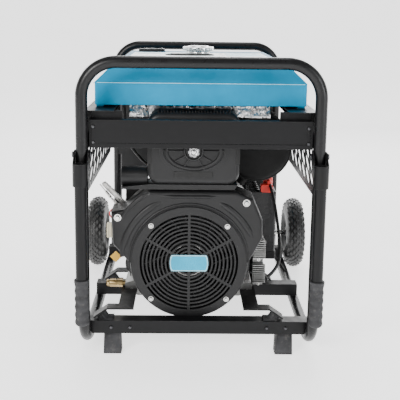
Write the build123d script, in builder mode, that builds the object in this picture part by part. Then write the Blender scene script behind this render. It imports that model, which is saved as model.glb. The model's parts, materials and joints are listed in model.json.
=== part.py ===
"""Engine driven welder: a tubular open frame that carries a two cylinder
air cooled engine, an alternator, a fuel tank, a battery and a control box,
on two wheels and two feet.

Millimetres. +Z is up, the fan end of the engine faces -Y and the operator
panel faces +Y. The origin is on the ground, under the middle of the machine.
"""
from build123d import *
from math import cos, radians, sin, tan
import os

os.makedirs("parts", exist_ok=True)

# ---------------------------------------------------------------- frame sizes
TUBE_R = 16.0            # frame tube, 32 mm outside
TUBE_WALL = 2.5
LEG_X = 310.0            # centre of every upright, left and right
FRONT_Y = -480.0         # plane of the front hoop
REAR_Y = 522.0           # plane of the rear hoop
TOP_Z = 814.0            # centre of the top bars
RAIL_Z = 40.0            # centre of the bottom rails
TOP_BEND = 90.0
LOW_BEND = 100.0
HOOP_FOOT = 120.0        # how far each hoop runs back along the bottom
SHEET = 2.5              # thickness of panels and brackets
FIT = 0.05               # radial clearance of a running fit
GAP = 0.4                # clearance between bodies that move past each other

# ------------------------------------------------------------ handles, wheels
PIVOT_Z = 573.0
HANDLE_Y = FRONT_Y - 38.0
HANDLE_R = 15.0
HANDLE_TOP_Z = 556.0
GRIP_R = 20.0
GRIP_LOW_Z = 120.0
GRIP_TOP_Z = 246.0
PIVOT_R = 5.0
WHEEL_R = 128.0
WHEEL_W = 70.0
WHEEL_X = 366.0          # middle of each tyre
AXLE_Y = 320.0
AXLE_R = 8.0

# ----------------------------------------------------------------- the engine
CRANK_X = -28.0
CRANK_Z = 250.0
GRILLE_Y = -393.0        # front face of the fan grille
SHROUD_Y = -386.0        # front wall of the blower shroud
SHROUD_BACK_Y = -292.0
CASE_BACK_Y = -76.0      # back of the crankcase, front of the alternator
ALTERNATOR_BACK_Y = 250.0
SHAFT_R = 17.5

# ---------------------------------------------------------- tank, control box
TANK_X = 287.0           # half width
TANK_FRONT_Y = -390.0
TANK_REAR_Y = 432.0
TANK_LOW_Z = 693.0
TANK_BEND_Z = 754.0
TANK_TOP_Z = 799.0
BOX_X = 284.0
BOX_FRONT_Y = 396.0
PANEL_Y = 496.0          # back face of the control box
BOX_LOW_Z = 352.0
BOX_TOP_Z = 660.0


def front_plane(y):
    """Plane at this y, drawn in x and z, whose normal points forward (-Y)."""
    return Plane.XZ.offset(-y)


def rear_plane(y):
    """Plane at this y whose normal points back (+Y); its first axis is -X."""
    return Plane(origin=(0, y, 0), x_dir=(-1, 0, 0), z_dir=(0, 1, 0))


def save(piece, label):
    """Label one finished piece and write its STEP file."""
    piece.part.label = label
    export_step(piece.part, f"parts/{label}.step")


def bent_bar(points, radii, outer, inner=0.0):
    """Round bar or tube along straight runs joined by tangent arcs."""
    with BuildPart() as bar:
        with BuildLine():
            route = FilletPolyline(*points, radius=radii)
        with BuildSketch(Plane(origin=route @ 0, z_dir=route % 0)):
            Circle(outer)
            if inner:
                Circle(inner, mode=Mode.SUBTRACT)
        sweep(path=route)
    return bar.part


def cord_radii(points):
    """Arc at each corner: 0.45 of the shorter run over tan of half the turn."""
    radii = []
    for before, here, after in zip(points, points[1:], points[2:]):
        run_in = Vector(*here) - Vector(*before)
        run_out = Vector(*after) - Vector(*here)
        turn = run_in.get_angle(run_out)
        radii.append(0.45 * min(run_in.length, run_out.length) / tan(radians(turn / 2)))
    return radii


def cord(points, radius):
    """One cable or hose along hand-chosen points."""
    return bent_bar(points, cord_radii(points), radius)


def hoop_points(y, inward):
    """Corners of one hoop; inward is +1 or -1, the way its feet run."""
    foot_y = y + inward * HOOP_FOOT
    return [
        (-LEG_X, foot_y, RAIL_Z),
        (-LEG_X, y, RAIL_Z),
        (-LEG_X, y, TOP_Z),
        (LEG_X, y, TOP_Z),
        (LEG_X, y, RAIL_Z),
        (LEG_X, foot_y, RAIL_Z),
    ]


HOOP_RADII = [LOW_BEND, TOP_BEND, TOP_BEND, LOW_BEND]

# ======================================================================= frame
PANEL_X = 292.0           # half width of the front cross panel
PANEL_BOLT_X = 281.5
PANEL_BOLT_Z = (604.0, 645.0)
TAB_Y = -463.4           # back of the welded tabs that carry the cross panel
TAB_T = 4.0
CROSS_PANEL_Y = TAB_Y - TAB_T - 0.1
CROSS_LOW_Z = 589.0
CROSS_TOP_Z = 663.0
BOLT_R = 4.0

with BuildPart() as front_hoop:
    add(bent_bar(hoop_points(FRONT_Y, 1), HOOP_RADII, TUBE_R, TUBE_R - TUBE_WALL))
    # flat tabs welded to the legs behind the cross panel
    with BuildSketch(front_plane(TAB_Y)):
        with Locations((-295, 625), (295, 625)):
            Rectangle(42, 68)
    extrude(amount=TAB_T)
    with BuildSketch(front_plane(TAB_Y + 1)):
        for z in PANEL_BOLT_Z:
            with Locations((-PANEL_BOLT_X, z), (PANEL_BOLT_X, z)):
                Circle(BOLT_R + 0.1)
    extrude(amount=TAB_T + 2, mode=Mode.SUBTRACT)
    # holes for the handle pivots, right through both legs
    with BuildSketch(Plane.YZ.offset(-LEG_X - 30)):
        with Locations((FRONT_Y, PIVOT_Z)):
            Circle(PIVOT_R + 0.1)
    extrude(amount=2 * LEG_X + 60, mode=Mode.SUBTRACT)
save(front_hoop, "front_hoop")

with BuildPart() as rear_hoop:
    add(bent_bar(hoop_points(REAR_Y, -1), HOOP_RADII, TUBE_R, TUBE_R - TUBE_WALL))
save(rear_hoop, "rear_hoop")

with BuildPart() as bottom_rails:
    with BuildSketch(front_plane(REAR_Y - HOOP_FOOT)):
        with Locations((-LEG_X, RAIL_Z), (LEG_X, RAIL_Z)):
            Circle(TUBE_R)
            Circle(TUBE_R - TUBE_WALL, mode=Mode.SUBTRACT)
    extrude(amount=REAR_Y - FRONT_Y - 2 * HOOP_FOOT)
save(bottom_rails, "bottom_rails")

# ---- folded channels across the bottom
CHANNEL_FRONT_Y = -438.0
CHANNEL_BACK_Y = -398.0
CHANNEL_LOW_Z = 60.0
CHANNEL_TOP_Z = 97.0
FOOT_X = 239.0
CHANNEL_BOLT_X = (-242.0, -190.0, 190.0, 242.0)
CHANNEL_BOLT_Z = 78.0
ISOLATOR_DX = 250.0      # each rubber mount, out from the crank line

with BuildPart() as front_base_channel:
    # front wall with a top and a bottom flange, open to the rear
    with BuildSketch(Plane.YZ.offset(-LEG_X)):
        with BuildLine():
            Polyline(
                (CHANNEL_BACK_Y, CHANNEL_LOW_Z),
                (CHANNEL_FRONT_Y, CHANNEL_LOW_Z),
                (CHANNEL_FRONT_Y, CHANNEL_TOP_Z),
                (CHANNEL_BACK_Y, CHANNEL_TOP_Z),
                (CHANNEL_BACK_Y, CHANNEL_TOP_Z - 3),
                (CHANNEL_FRONT_Y + 3, CHANNEL_TOP_Z - 3),
                (CHANNEL_FRONT_Y + 3, CHANNEL_LOW_Z + 3),
                (CHANNEL_BACK_Y, CHANNEL_LOW_Z + 3),
                close=True,
            )
        make_face()
    extrude(amount=2 * LEG_X)
    with BuildSketch(front_plane(CHANNEL_FRONT_Y + 5)):
        with Locations(*[(x, CHANNEL_BOLT_Z) for x in CHANNEL_BOLT_X]):
            Circle(BOLT_R + 0.1)
    extrude(amount=10, mode=Mode.SUBTRACT)
    # coped to the bent tubes that it is welded between
    add(bent_bar(hoop_points(FRONT_Y, 1), HOOP_RADII, TUBE_R + FIT), mode=Mode.SUBTRACT)
save(front_base_channel, "front_base_channel")

MEMBER_LOW_Z = RAIL_Z + TUBE_R
MEMBER_TOP_Z = MEMBER_LOW_Z + 37.0
MEMBER_DEPTH = 40.0
MIDDLE_Y = -118.0
REAR_MEMBER_Y = 250.0
BATTERY_X = (132.0, 254.0)
BATTERY_Y = (-46.0, 142.0)
BATTERY_Z = (150.0, 372.0)

with BuildPart() as cross_members:
    # two inverted channels that lie across the rails
    for y in (MIDDLE_Y, REAR_MEMBER_Y):
        with BuildSketch(Plane.YZ.offset(-LEG_X - 8)):
            with Locations((y, (MEMBER_LOW_Z + MEMBER_TOP_Z) / 2)):
                Rectangle(MEMBER_DEPTH, MEMBER_TOP_Z - MEMBER_LOW_Z)
            with Locations((y, (MEMBER_LOW_Z + MEMBER_TOP_Z) / 2 - 3)):
                Rectangle(MEMBER_DEPTH - 6, MEMBER_TOP_Z - MEMBER_LOW_Z, mode=Mode.SUBTRACT)
        extrude(amount=2 * LEG_X + 16)
    # battery tray on two legs that stand on the middle member and a rail strap
    tray_z = BATTERY_Z[0] - 3.2
    tray_x = (BATTERY_X[0] + BATTERY_X[1]) / 2
    tray_y = (BATTERY_Y[0] + BATTERY_Y[1]) / 2
    with BuildSketch(Plane.XY.offset(tray_z)):
        with Locations((tray_x, tray_y)):
            RectangleRounded(128, 194, 6)
    extrude(amount=3)
    with BuildSketch(Plane.XY.offset(tray_z + 3)):
        with Locations((tray_x, tray_y)):
            RectangleRounded(128, 194, 6)
            RectangleRounded(123, 189, 4, mode=Mode.SUBTRACT)
    extrude(amount=22)
    # front leg: down from the tray and forward to the middle member
    with BuildSketch(Plane.YZ.offset(tray_x - 28)):
        with BuildLine():
            Polyline(
                (MIDDLE_Y + 17.2, MEMBER_TOP_Z),
                (MIDDLE_Y + 20, MEMBER_TOP_Z),
                (BATTERY_Y[0] + 26, tray_z),
                (BATTERY_Y[0] + 18, tray_z),
                close=True,
            )
        make_face()
    extrude(amount=30)
    # rear leg: outwards to the right hand rail
    with BuildSketch(front_plane(BATTERY_Y[1] - 10)):
        with BuildLine():
            Polyline(
                (LEG_X - 6, RAIL_Z + TUBE_R - 1),
                (LEG_X + 2, RAIL_Z + TUBE_R - 1),
                (tray_x + 56, tray_z),
                (tray_x + 46, tray_z),
                close=True,
            )
        make_face()
    extrude(amount=40)
    add(bottom_rails.part, mode=Mode.SUBTRACT)
save(cross_members, "cross_members")

with BuildPart() as front_feet:
    for side in (-1, 1):
        with BuildSketch(Plane.XY):
            with Locations((side * FOOT_X, (CHANNEL_FRONT_Y + CHANNEL_BACK_Y) / 2)):
                RectangleRounded(50, 40, 4)
        with BuildSketch(Plane.XY.offset(CHANNEL_LOW_Z)):
            with Locations((side * FOOT_X, (CHANNEL_FRONT_Y + CHANNEL_BACK_Y) / 2)):
                RectangleRounded(46, 38, 4)
        loft()
save(front_feet, "front_feet")

with BuildPart() as front_cross_panel:
    with BuildSketch(Plane.YZ.offset(-PANEL_X)):
        with BuildLine():
            Polyline(
                (CROSS_PANEL_Y, CROSS_LOW_Z),
                (CROSS_PANEL_Y - SHEET, CROSS_LOW_Z),
                (CROSS_PANEL_Y - SHEET, CROSS_TOP_Z),
                (CROSS_PANEL_Y + 20, CROSS_TOP_Z),
                (CROSS_PANEL_Y + 20, CROSS_TOP_Z - SHEET),
                (CROSS_PANEL_Y, CROSS_TOP_Z - SHEET),
                close=True,
            )
        make_face()
    extrude(amount=2 * PANEL_X)
    with BuildSketch(front_plane(CROSS_PANEL_Y + 1)):
        for z in PANEL_BOLT_Z:
            with Locations((-PANEL_BOLT_X, z), (PANEL_BOLT_X, z)):
                Circle(BOLT_R + 0.1)
    extrude(amount=SHEET + 2, mode=Mode.SUBTRACT)
save(front_cross_panel, "front_cross_panel")

# ---- side guards: perforated sheet with a top flange that carries the tank
GUARD_FRONT_Y = FRONT_Y + TUBE_R + 2
GUARD_REAR_Y = 200.0
GUARD_LOW_Z = 458.0
FLANGE_Z = 686.0         # top of the flange under the tank
GUARD_X = 306.0          # outer face of the guard sheet


def side_guard(side):
    """Perforated guard for one side; side is -1 for left, +1 for right."""
    outer = side * GUARD_X
    sheet = Plane.YZ.offset(outer - SHEET / 2 - side * SHEET / 2)
    with BuildPart() as guard:
        with BuildSketch(sheet):
            with BuildLine():
                Polyline(
                    (GUARD_FRONT_Y, GUARD_LOW_Z),
                    (GUARD_REAR_Y - 25, GUARD_LOW_Z),
                    (GUARD_REAR_Y, GUARD_LOW_Z + 25),
                    (GUARD_REAR_Y, FLANGE_Z),
                    (GUARD_FRONT_Y, FLANGE_Z),
                    close=True,
                )
            make_face()
            # rows of long slanted slots, each row a little further back
            for row in range(5):
                for column in range(8):
                    y = GUARD_FRONT_Y + 50 + 76 * column + 9 * row
                    with Locations((y, GUARD_LOW_Z + 34 + 34 * row)):
                        SlotOverall(66, 20, rotation=28, mode=Mode.SUBTRACT)
        extrude(amount=SHEET)
        # flange, from the sheet inwards under the whole length of the tank
        flange_x = side * (GUARD_X - 38)
        with BuildSketch(Plane.XY.offset(FLANGE_Z - SHEET)):
            with Locations((flange_x, (GUARD_FRONT_Y + 506) / 2)):
                Rectangle(76, 506 - GUARD_FRONT_Y)
            for y in (-330, -200, -70, 60, 190):
                with Locations((side * 262, y)):
                    SlotOverall(70, 16, rotation=90, mode=Mode.SUBTRACT)
        extrude(amount=SHEET)
        # stiffening lip behind the perforated area
        with BuildSketch(sheet):
            with Locations(((GUARD_REAR_Y + 506) / 2, FLANGE_Z - 15)):
                Rectangle(506 - GUARD_REAR_Y, 30)
        extrude(amount=SHEET)
    return guard


left_side_guard = side_guard(-1)
save(left_side_guard, "left_side_guard")
right_side_guard = side_guard(1)
save(right_side_guard, "right_side_guard")

# ===================================================================== handles


def handle_tube(side):
    """Carrying handle: tube, and two ears that straddle the frame leg."""
    x = side * LEG_X
    with BuildPart() as handle:
        with BuildSketch(Plane.XY.offset(GRIP_LOW_Z + 6)):
            with Locations((x, HANDLE_Y)):
                Circle(HANDLE_R)
                Circle(HANDLE_R - TUBE_WALL, mode=Mode.SUBTRACT)
        extrude(amount=HANDLE_TOP_Z - GRIP_LOW_Z - 6)
        for face_x in (x - TUBE_R - 3.6, x + TUBE_R + 0.6):
            with BuildSketch(Plane.YZ.offset(face_x)):
                with BuildLine():
                    Polyline(
                        (HANDLE_Y, 497),
                        (HANDLE_Y + 9, 497),
                        (FRONT_Y + 13, PIVOT_Z - 6),
                        (FRONT_Y + 8, PIVOT_Z + 12),
                        (FRONT_Y - 8, PIVOT_Z + 12),
                        (HANDLE_Y, HANDLE_TOP_Z),
                        close=True,
                    )
                make_face()
                with Locations((FRONT_Y, PIVOT_Z)):
                    Circle(PIVOT_R + FIT, mode=Mode.SUBTRACT)
            extrude(amount=3)
        # rounded web between the ears, in front of the tube
        with BuildSketch(Plane.XY.offset(497)):
            with Locations((x, HANDLE_Y)):
                Circle(TUBE_R + 3.6)
                Circle(HANDLE_R - 0.5, mode=Mode.SUBTRACT)
            with Locations((x, HANDLE_Y + 26)):
                Rectangle(60, 50, mode=Mode.SUBTRACT)
        extrude(amount=HANDLE_TOP_Z - 497)
    return handle


def grip(side):
    """Rubber grip with finger waves, closed at its lower end."""
    x = side * LEG_X
    waves = 5
    pitch = (GRIP_TOP_Z - GRIP_LOW_Z - 16) / waves
    with BuildPart() as sleeve:
        with BuildSketch(Plane.XZ.offset(-HANDLE_Y)):
            with BuildLine():
                Line((x, GRIP_LOW_Z), (x + 14, GRIP_LOW_Z))
                ThreePointArc(
                    (x + 14, GRIP_LOW_Z), (x + 17.5, GRIP_LOW_Z + 2.5), (x + 19, GRIP_LOW_Z + 8)
                )
                for i in range(waves):
                    z = GRIP_LOW_Z + 8 + pitch * i
                    ThreePointArc((x + 19, z), (x + 17.6, z + pitch / 2), (x + 19, z + pitch))
                Line((x + 19, GRIP_TOP_Z - 8), (x + GRIP_R, GRIP_TOP_Z - 6))
                Line((x + GRIP_R, GRIP_TOP_Z - 6), (x + GRIP_R, GRIP_TOP_Z))
                Line((x + GRIP_R, GRIP_TOP_Z), (x, GRIP_TOP_Z))
                Line((x, GRIP_TOP_Z), (x, GRIP_LOW_Z))
            make_face()
        revolve(axis=Axis((x, HANDLE_Y, 0), (0, 0, 1)))
        with BuildSketch(Plane.XY.offset(GRIP_LOW_Z + 6)):
            with Locations((x, HANDLE_Y)):
                Circle(HANDLE_R)
        extrude(amount=GRIP_TOP_Z, mode=Mode.SUBTRACT)
    return sleeve


left_handle_tube = handle_tube(-1)
save(left_handle_tube, "left_handle_tube")
right_handle_tube = handle_tube(1)
save(right_handle_tube, "right_handle_tube")
left_grip = grip(-1)
save(left_grip, "left_grip")
right_grip = grip(1)
save(right_grip, "right_grip")

BOLT_HEAD_R = 5.0
with BuildPart() as frame_bolts:
    # handle pivots: a pin with a domed head at each side of the leg
    for side in (-1, 1):
        with BuildSketch(Plane.YZ.offset(side * LEG_X - 20.2)):
            with Locations((FRONT_Y, PIVOT_Z)):
                Circle(PIVOT_R)
        extrude(amount=40.4)
        with BuildSketch(Plane.YZ.offset(side * LEG_X + 20.2)):
            with Locations((FRONT_Y, PIVOT_Z)):
                RegularPolygon(8.5, 6)
        extrude(amount=5)
        with BuildSketch(Plane.YZ.offset(side * LEG_X - 25.2)):
            with Locations((FRONT_Y, PIVOT_Z)):
                RegularPolygon(8.5, 6)
        extrude(amount=5)
    # cross panel screws, and the screws along the front channel
    for x in (-PANEL_BOLT_X, PANEL_BOLT_X):
        for z in PANEL_BOLT_Z:
            with BuildSketch(front_plane(TAB_Y + 4)):
                with Locations((x, z)):
                    Circle(BOLT_R)
            extrude(amount=TAB_T + SHEET + 4.1)
            with BuildSketch(front_plane(CROSS_PANEL_Y - SHEET)):
                with Locations((x, z)):
                    Circle(BOLT_HEAD_R)
            extrude(amount=3.5, taper=25)
    for x in CHANNEL_BOLT_X:
        with BuildSketch(front_plane(CHANNEL_FRONT_Y + 8)):
            with Locations((x, CHANNEL_BOLT_Z)):
                Circle(BOLT_R)
        extrude(amount=8)
        with BuildSketch(front_plane(CHANNEL_FRONT_Y)):
            with Locations((x, CHANNEL_BOLT_Z)):
                Circle(BOLT_HEAD_R)
        extrude(amount=3.5, taper=25)
save(frame_bolts, "frame_bolts")

# ====================================================================== wheels
RIM_R = 62.0
HUB_HALF = 27.0

with BuildPart() as wheel_axle:
    for side in (-1, 1):
        # stub axle, out from inside its plate
        with BuildSketch(Plane.YZ.offset(side * (LEG_X - 12))):
            with Locations((AXLE_Y, WHEEL_R)):
                Circle(AXLE_R)
        extrude(amount=side * (WHEEL_X + WHEEL_W / 2 - LEG_X + 11))
        # axle plate, standing on the rail
        with BuildSketch(Plane.YZ.offset(side * LEG_X - 4)):
            with BuildLine():
                Polyline(
                    (AXLE_Y - 45, RAIL_Z + TUBE_R - 1),
                    (AXLE_Y + 45, RAIL_Z + TUBE_R - 1),
                    (AXLE_Y + 18, WHEEL_R + 18),
                    (AXLE_Y - 18, WHEEL_R + 18),
                    close=True,
                )
            make_face()
        extrude(amount=8)
        # nut outside the hub
        with BuildSketch(Plane.YZ.offset(side * (WHEEL_X + HUB_HALF + 4.5) - 3.5)):
            with Locations((AXLE_Y, WHEEL_R)):
                RegularPolygon(13, 6)
        extrude(amount=7)
    add(bottom_rails.part, mode=Mode.SUBTRACT)
save(wheel_axle, "wheel_axle")


def rim(side):
    """Steel rim with a hub tube, a dished disc and round windows."""
    x = side * WHEEL_X
    with BuildPart() as wheel:
        with BuildSketch(Plane.XY.offset(WHEEL_R)):
            with BuildLine():
                # profile in x (across) and y (radius), turned about the axle
                Polyline(
                    (x - 26, AXLE_Y + RIM_R + 5),
                    (x - 26, AXLE_Y + RIM_R - 6),
                    (x - 3, AXLE_Y + RIM_R - 14),
                    (x - 3, AXLE_Y + 19),
                    (x - HUB_HALF, AXLE_Y + 19),
                    (x - HUB_HALF, AXLE_Y + AXLE_R + FIT),
                    (x + HUB_HALF, AXLE_Y + AXLE_R + FIT),
                    (x + HUB_HALF, AXLE_Y + 19),
                    (x + 3, AXLE_Y + 19),
                    (x + 3, AXLE_Y + RIM_R - 14),
                    (x + 26, AXLE_Y + RIM_R - 6),
                    (x + 26, AXLE_Y + RIM_R + 5),
                    (x + 22, AXLE_Y + RIM_R + 5),
                    (x + 22, AXLE_Y + RIM_R - 2),
                    (x - 22, AXLE_Y + RIM_R - 2),
                    (x - 22, AXLE_Y + RIM_R + 5),
                    close=True,
                )
            make_face()
        revolve(axis=Axis((0, AXLE_Y, WHEEL_R), (1, 0, 0)))
        with BuildSketch(Plane.YZ.offset(x - 10)):
            with Locations((AXLE_Y, WHEEL_R)):
                with PolarLocations(33, 6):
                    Circle(8)
        extrude(amount=20, mode=Mode.SUBTRACT)
    return wheel


def tyre(side):
    """Tyre: a rounded section turned about the axle."""
    x = side * WHEEL_X
    half = WHEEL_W / 2
    with BuildPart() as ring:
        with BuildSketch(Plane.XY.offset(WHEEL_R)):
            with BuildLine():
                Line((x - 21.8, AXLE_Y + RIM_R - 1.8), (x + 21.8, AXLE_Y + RIM_R - 1.8))
                Line((x + 21.8, AXLE_Y + RIM_R - 1.8), (x + 21.8, AXLE_Y + RIM_R + 6))
                ThreePointArc(
                    (x + 21.8, AXLE_Y + RIM_R + 6),
                    (x + half, AXLE_Y + 97),
                    (x + 25, AXLE_Y + 121),
                )
                ThreePointArc(
                    (x + 25, AXLE_Y + 121), (x, AXLE_Y + WHEEL_R), (x - 25, AXLE_Y + 121)
                )
                ThreePointArc(
                    (x - 25, AXLE_Y + 121),
                    (x - half, AXLE_Y + 97),
                    (x - 21.8, AXLE_Y + RIM_R + 6),
                )
                Line((x - 21.8, AXLE_Y + RIM_R + 6), (x - 21.8, AXLE_Y + RIM_R - 1.8))
            make_face()
        revolve(axis=Axis((0, AXLE_Y, WHEEL_R), (1, 0, 0)))
    return ring


left_rim = rim(-1)
save(left_rim, "left_rim")
right_rim = rim(1)
save(right_rim, "right_rim")
left_tyre = tyre(-1)
save(left_tyre, "left_tyre")
right_tyre = tyre(1)
save(right_tyre, "right_tyre")

# ======================================================================== tank
SKIRT_Z = FLANGE_Z + 0.2
CAP_Y = 205.0
CAP_R = 54.0
NECK_R = 38.0
tank_mid_y = (TANK_FRONT_Y + TANK_REAR_Y) / 2
tank_len = TANK_REAR_Y - TANK_FRONT_Y

with BuildPart() as fuel_tank:
    with BuildSketch(Plane.XY.offset(TANK_LOW_Z)):
        with Locations((0, tank_mid_y)):
            RectangleRounded(2 * TANK_X, tank_len, 8)
    extrude(amount=TANK_BEND_Z - TANK_LOW_Z)
    # mitred slopes up to the flat top
    slope = TANK_TOP_Z - TANK_BEND_Z
    with BuildSketch(Plane.XY.offset(TANK_BEND_Z)):
        with Locations((0, tank_mid_y)):
            RectangleRounded(2 * TANK_X, tank_len, 8)
    with BuildSketch(Plane.XY.offset(TANK_TOP_Z)):
        with Locations((0, tank_mid_y)):
            RectangleRounded(2 * (TANK_X - slope), tank_len - 2 * slope, 8)
    loft()
    # feet under the tank, on the flanges of the guards
    with BuildSketch(Plane.XY.offset(SKIRT_Z)):
        for x in (-TANK_X + 12, TANK_X - 12):
            with Locations((x, tank_mid_y)):
                Rectangle(20, tank_len - 40)
    extrude(amount=TANK_LOW_Z - SKIRT_Z)
    # filler neck
    with BuildSketch(Plane.XY.offset(TANK_TOP_Z)):
        with Locations((0, CAP_Y)):
            Circle(NECK_R)
    extrude(amount=12)
    # the inside of the tank, one wall thickness in
    with BuildSketch(Plane.XY.offset(TANK_LOW_Z + 3)):
        with Locations((0, tank_mid_y)):
            Rectangle(2 * TANK_X - 6, tank_len - 6)
    extrude(amount=TANK_BEND_Z - TANK_LOW_Z - 3, mode=Mode.SUBTRACT)
    with BuildSketch(Plane.XY.offset(TANK_BEND_Z)):
        with Locations((0, tank_mid_y)):
            Rectangle(2 * TANK_X - 6, tank_len - 6)
    with BuildSketch(Plane.XY.offset(TANK_TOP_Z - 3)):
        with Locations((0, tank_mid_y)):
            Rectangle(2 * (TANK_X - slope), tank_len - 2 * slope)
    loft(mode=Mode.SUBTRACT)
    with BuildSketch(Plane.XY.offset(TANK_TOP_Z - 6)):
        with Locations((0, CAP_Y)):
            Circle(NECK_R - 6)
    extrude(amount=30, mode=Mode.SUBTRACT)
save(fuel_tank, "fuel_tank")

with BuildPart() as fuel_cap:
    cap_low = TANK_TOP_Z + 12 + GAP
    with BuildSketch(Plane.XY.offset(cap_low)):
        with Locations((0, CAP_Y)):
            Circle(CAP_R)
    extrude(amount=13)
    fillet(fuel_cap.edges().group_by(Axis.Z)[-1], 4)
    with BuildSketch(Plane.XY.offset(cap_low)):
        with Locations((0, CAP_Y)):
            with PolarLocations(CAP_R + 4, 12):
                Circle(7)
    extrude(amount=13, mode=Mode.SUBTRACT)
    # stem that seals inside the neck
    with BuildSketch(Plane.XY.offset(cap_low)):
        with Locations((0, CAP_Y)):
            Circle(NECK_R - 6.5)
    extrude(amount=-10)
    # low dome
    with BuildSketch(Plane.XY.offset(cap_low + 13)):
        with Locations((0, CAP_Y)):
            Circle(36)
    extrude(amount=3, taper=40)
save(fuel_cap, "fuel_cap")

GAUGE_X = -167.0
GAUGE_Y = 338.0
with BuildPart() as fuel_gauge:
    with BuildSketch(Plane.XY.offset(TANK_TOP_Z + 0.05)):
        with Locations((GAUGE_X, GAUGE_Y)):
            SlotOverall(96, 44)
    extrude(amount=11)
    fillet(fuel_gauge.edges().group_by(Axis.Z)[-1], 4)
    with BuildSketch(Plane.XY.offset(TANK_TOP_Z + 7)):
        with Locations((GAUGE_X, GAUGE_Y)):
            SlotOverall(72, 26)
    extrude(amount=10, mode=Mode.SUBTRACT)
save(fuel_gauge, "fuel_gauge")

# foil blanket between the hot engine and the tank
SHIELD_X = 205.0
SHIELD_FRONT_Y = -286.0
with BuildPart() as heat_shield:
    with BuildSketch(Plane.YZ.offset(-SHIELD_X)):
        with BuildLine():
            Polyline(
                (SHIELD_FRONT_Y, 678),
                (200, 678),
                (200, 684),
                (SHIELD_FRONT_Y - 6, 684),
                (SHIELD_FRONT_Y - 6, 640),
                (SHIELD_FRONT_Y, 640),
                close=True,
            )
        make_face()
    extrude(amount=2 * SHIELD_X)
save(heat_shield, "heat_shield")

# ====================================================================== engine
SHROUD_R = 166.0
GRILLE_R = 160.0
SLOT_R = 138.0
SLOT_PITCH = 10.7
SCREW_PCD = 300.0
FAN_R = 134.0
CRANK_DOT = (CRANK_X, CRANK_Z)
EARS = ((-227.0, 377.0), (130.0, 422.0))
SHROUD_WALL = 4.0


def shroud_outline(inset):
    """Front outline of the shroud: round body, shoulders and a right bulge."""
    with BuildSketch() as outline:
        with Locations(CRANK_DOT):
            Circle(SHROUD_R - inset)
        with BuildLine():
            Polyline(
                (CRANK_X - SHROUD_R * 0.98 + inset, CRANK_Z - 10),
                (-242 + inset, 300),
                (-246 + inset, 392 - inset),
                (-205, 400 - inset),
                (-140, 452 - inset),
                (100, 452 - inset),
                (150 - inset, 432 - inset),
                (176 - inset, 372),
                (178 - inset, 320),
                (CRANK_X + SHROUD_R * 0.98 - inset, CRANK_Z - 10),
                close=True,
            )
        make_face()
        fillet(outline.vertices().group_by(Axis.Y)[-1], 14)
    return outline.sketch


with BuildPart() as blower_shroud:
    with BuildSketch(front_plane(SHROUD_BACK_Y)):
        add(shroud_outline(0))
    extrude(amount=SHROUD_BACK_Y - SHROUD_Y)
    front_edges = blower_shroud.faces().sort_by(Axis.Y)[0].edges()
    fillet(front_edges, 9)
    with BuildSketch(front_plane(SHROUD_BACK_Y)):
        add(shroud_outline(SHROUD_WALL))
    extrude(amount=SHROUD_BACK_Y - SHROUD_Y - SHROUD_WALL, mode=Mode.SUBTRACT)
    # fan opening
    with BuildSketch(front_plane(SHROUD_Y + 20)):
        with Locations(CRANK_DOT):
            Circle(SLOT_R + 4)
    extrude(amount=40, mode=Mode.SUBTRACT)
    # bosses for the two ear bolts and the four grille screws
    for x, z in EARS:
        with BuildSketch(front_plane(SHROUD_BACK_Y)):
            with Locations((x, z)):
                Circle(11)
        extrude(amount=SHROUD_BACK_Y - SHROUD_Y)
    with BuildSketch(front_plane(SHROUD_Y + 40)):
        for x, z in EARS:
            with Locations((x, z)):
                Circle(BOLT_R + 0.1)
        with Locations(CRANK_DOT):
            with PolarLocations(SCREW_PCD / 2, 4, start_angle=45):
                Circle(2.6)
    extrude(amount=60, mode=Mode.SUBTRACT)
save(blower_shroud, "blower_shroud")

with BuildPart() as grille:
    with BuildSketch(front_plane(SHROUD_Y)):
        with Locations(CRANK_DOT):
            Circle(GRILLE_R)
            with PolarLocations(SCREW_PCD / 2, 4, start_angle=45):
                Circle(2.6, mode=Mode.SUBTRACT)
            for ring in range(11):
                outer = SLOT_R - ring * SLOT_PITCH
                Circle(outer, mode=Mode.SUBTRACT)
                Circle(outer - SLOT_PITCH * 0.58)
            with PolarLocations(SLOT_R / 2 + 2, 6, start_angle=30):
                Rectangle(SLOT_R + 4, 7)
    extrude(amount=SHROUD_Y - GRILLE_Y)
save(grille, "grille")

with BuildPart() as flywheel_fan:
    # back plate, iron rim and bent blades
    with BuildSketch(front_plane(-300)):
        with Locations(CRANK_DOT):
            Circle(FAN_R)
            Circle(SHAFT_R + FIT, mode=Mode.SUBTRACT)
    extrude(amount=14)
    with BuildSketch(front_plane(-314)):
        with Locations(CRANK_DOT):
            Circle(60)
            Circle(SHAFT_R + FIT, mode=Mode.SUBTRACT)
    extrude(amount=44)
    with BuildSketch(front_plane(-314)):
        with Locations(CRANK_DOT):
            with PolarLocations(95, 20):
                Rectangle(66, 4, rotation=24)
    extrude(amount=52)
save(flywheel_fan, "flywheel_fan")

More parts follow.
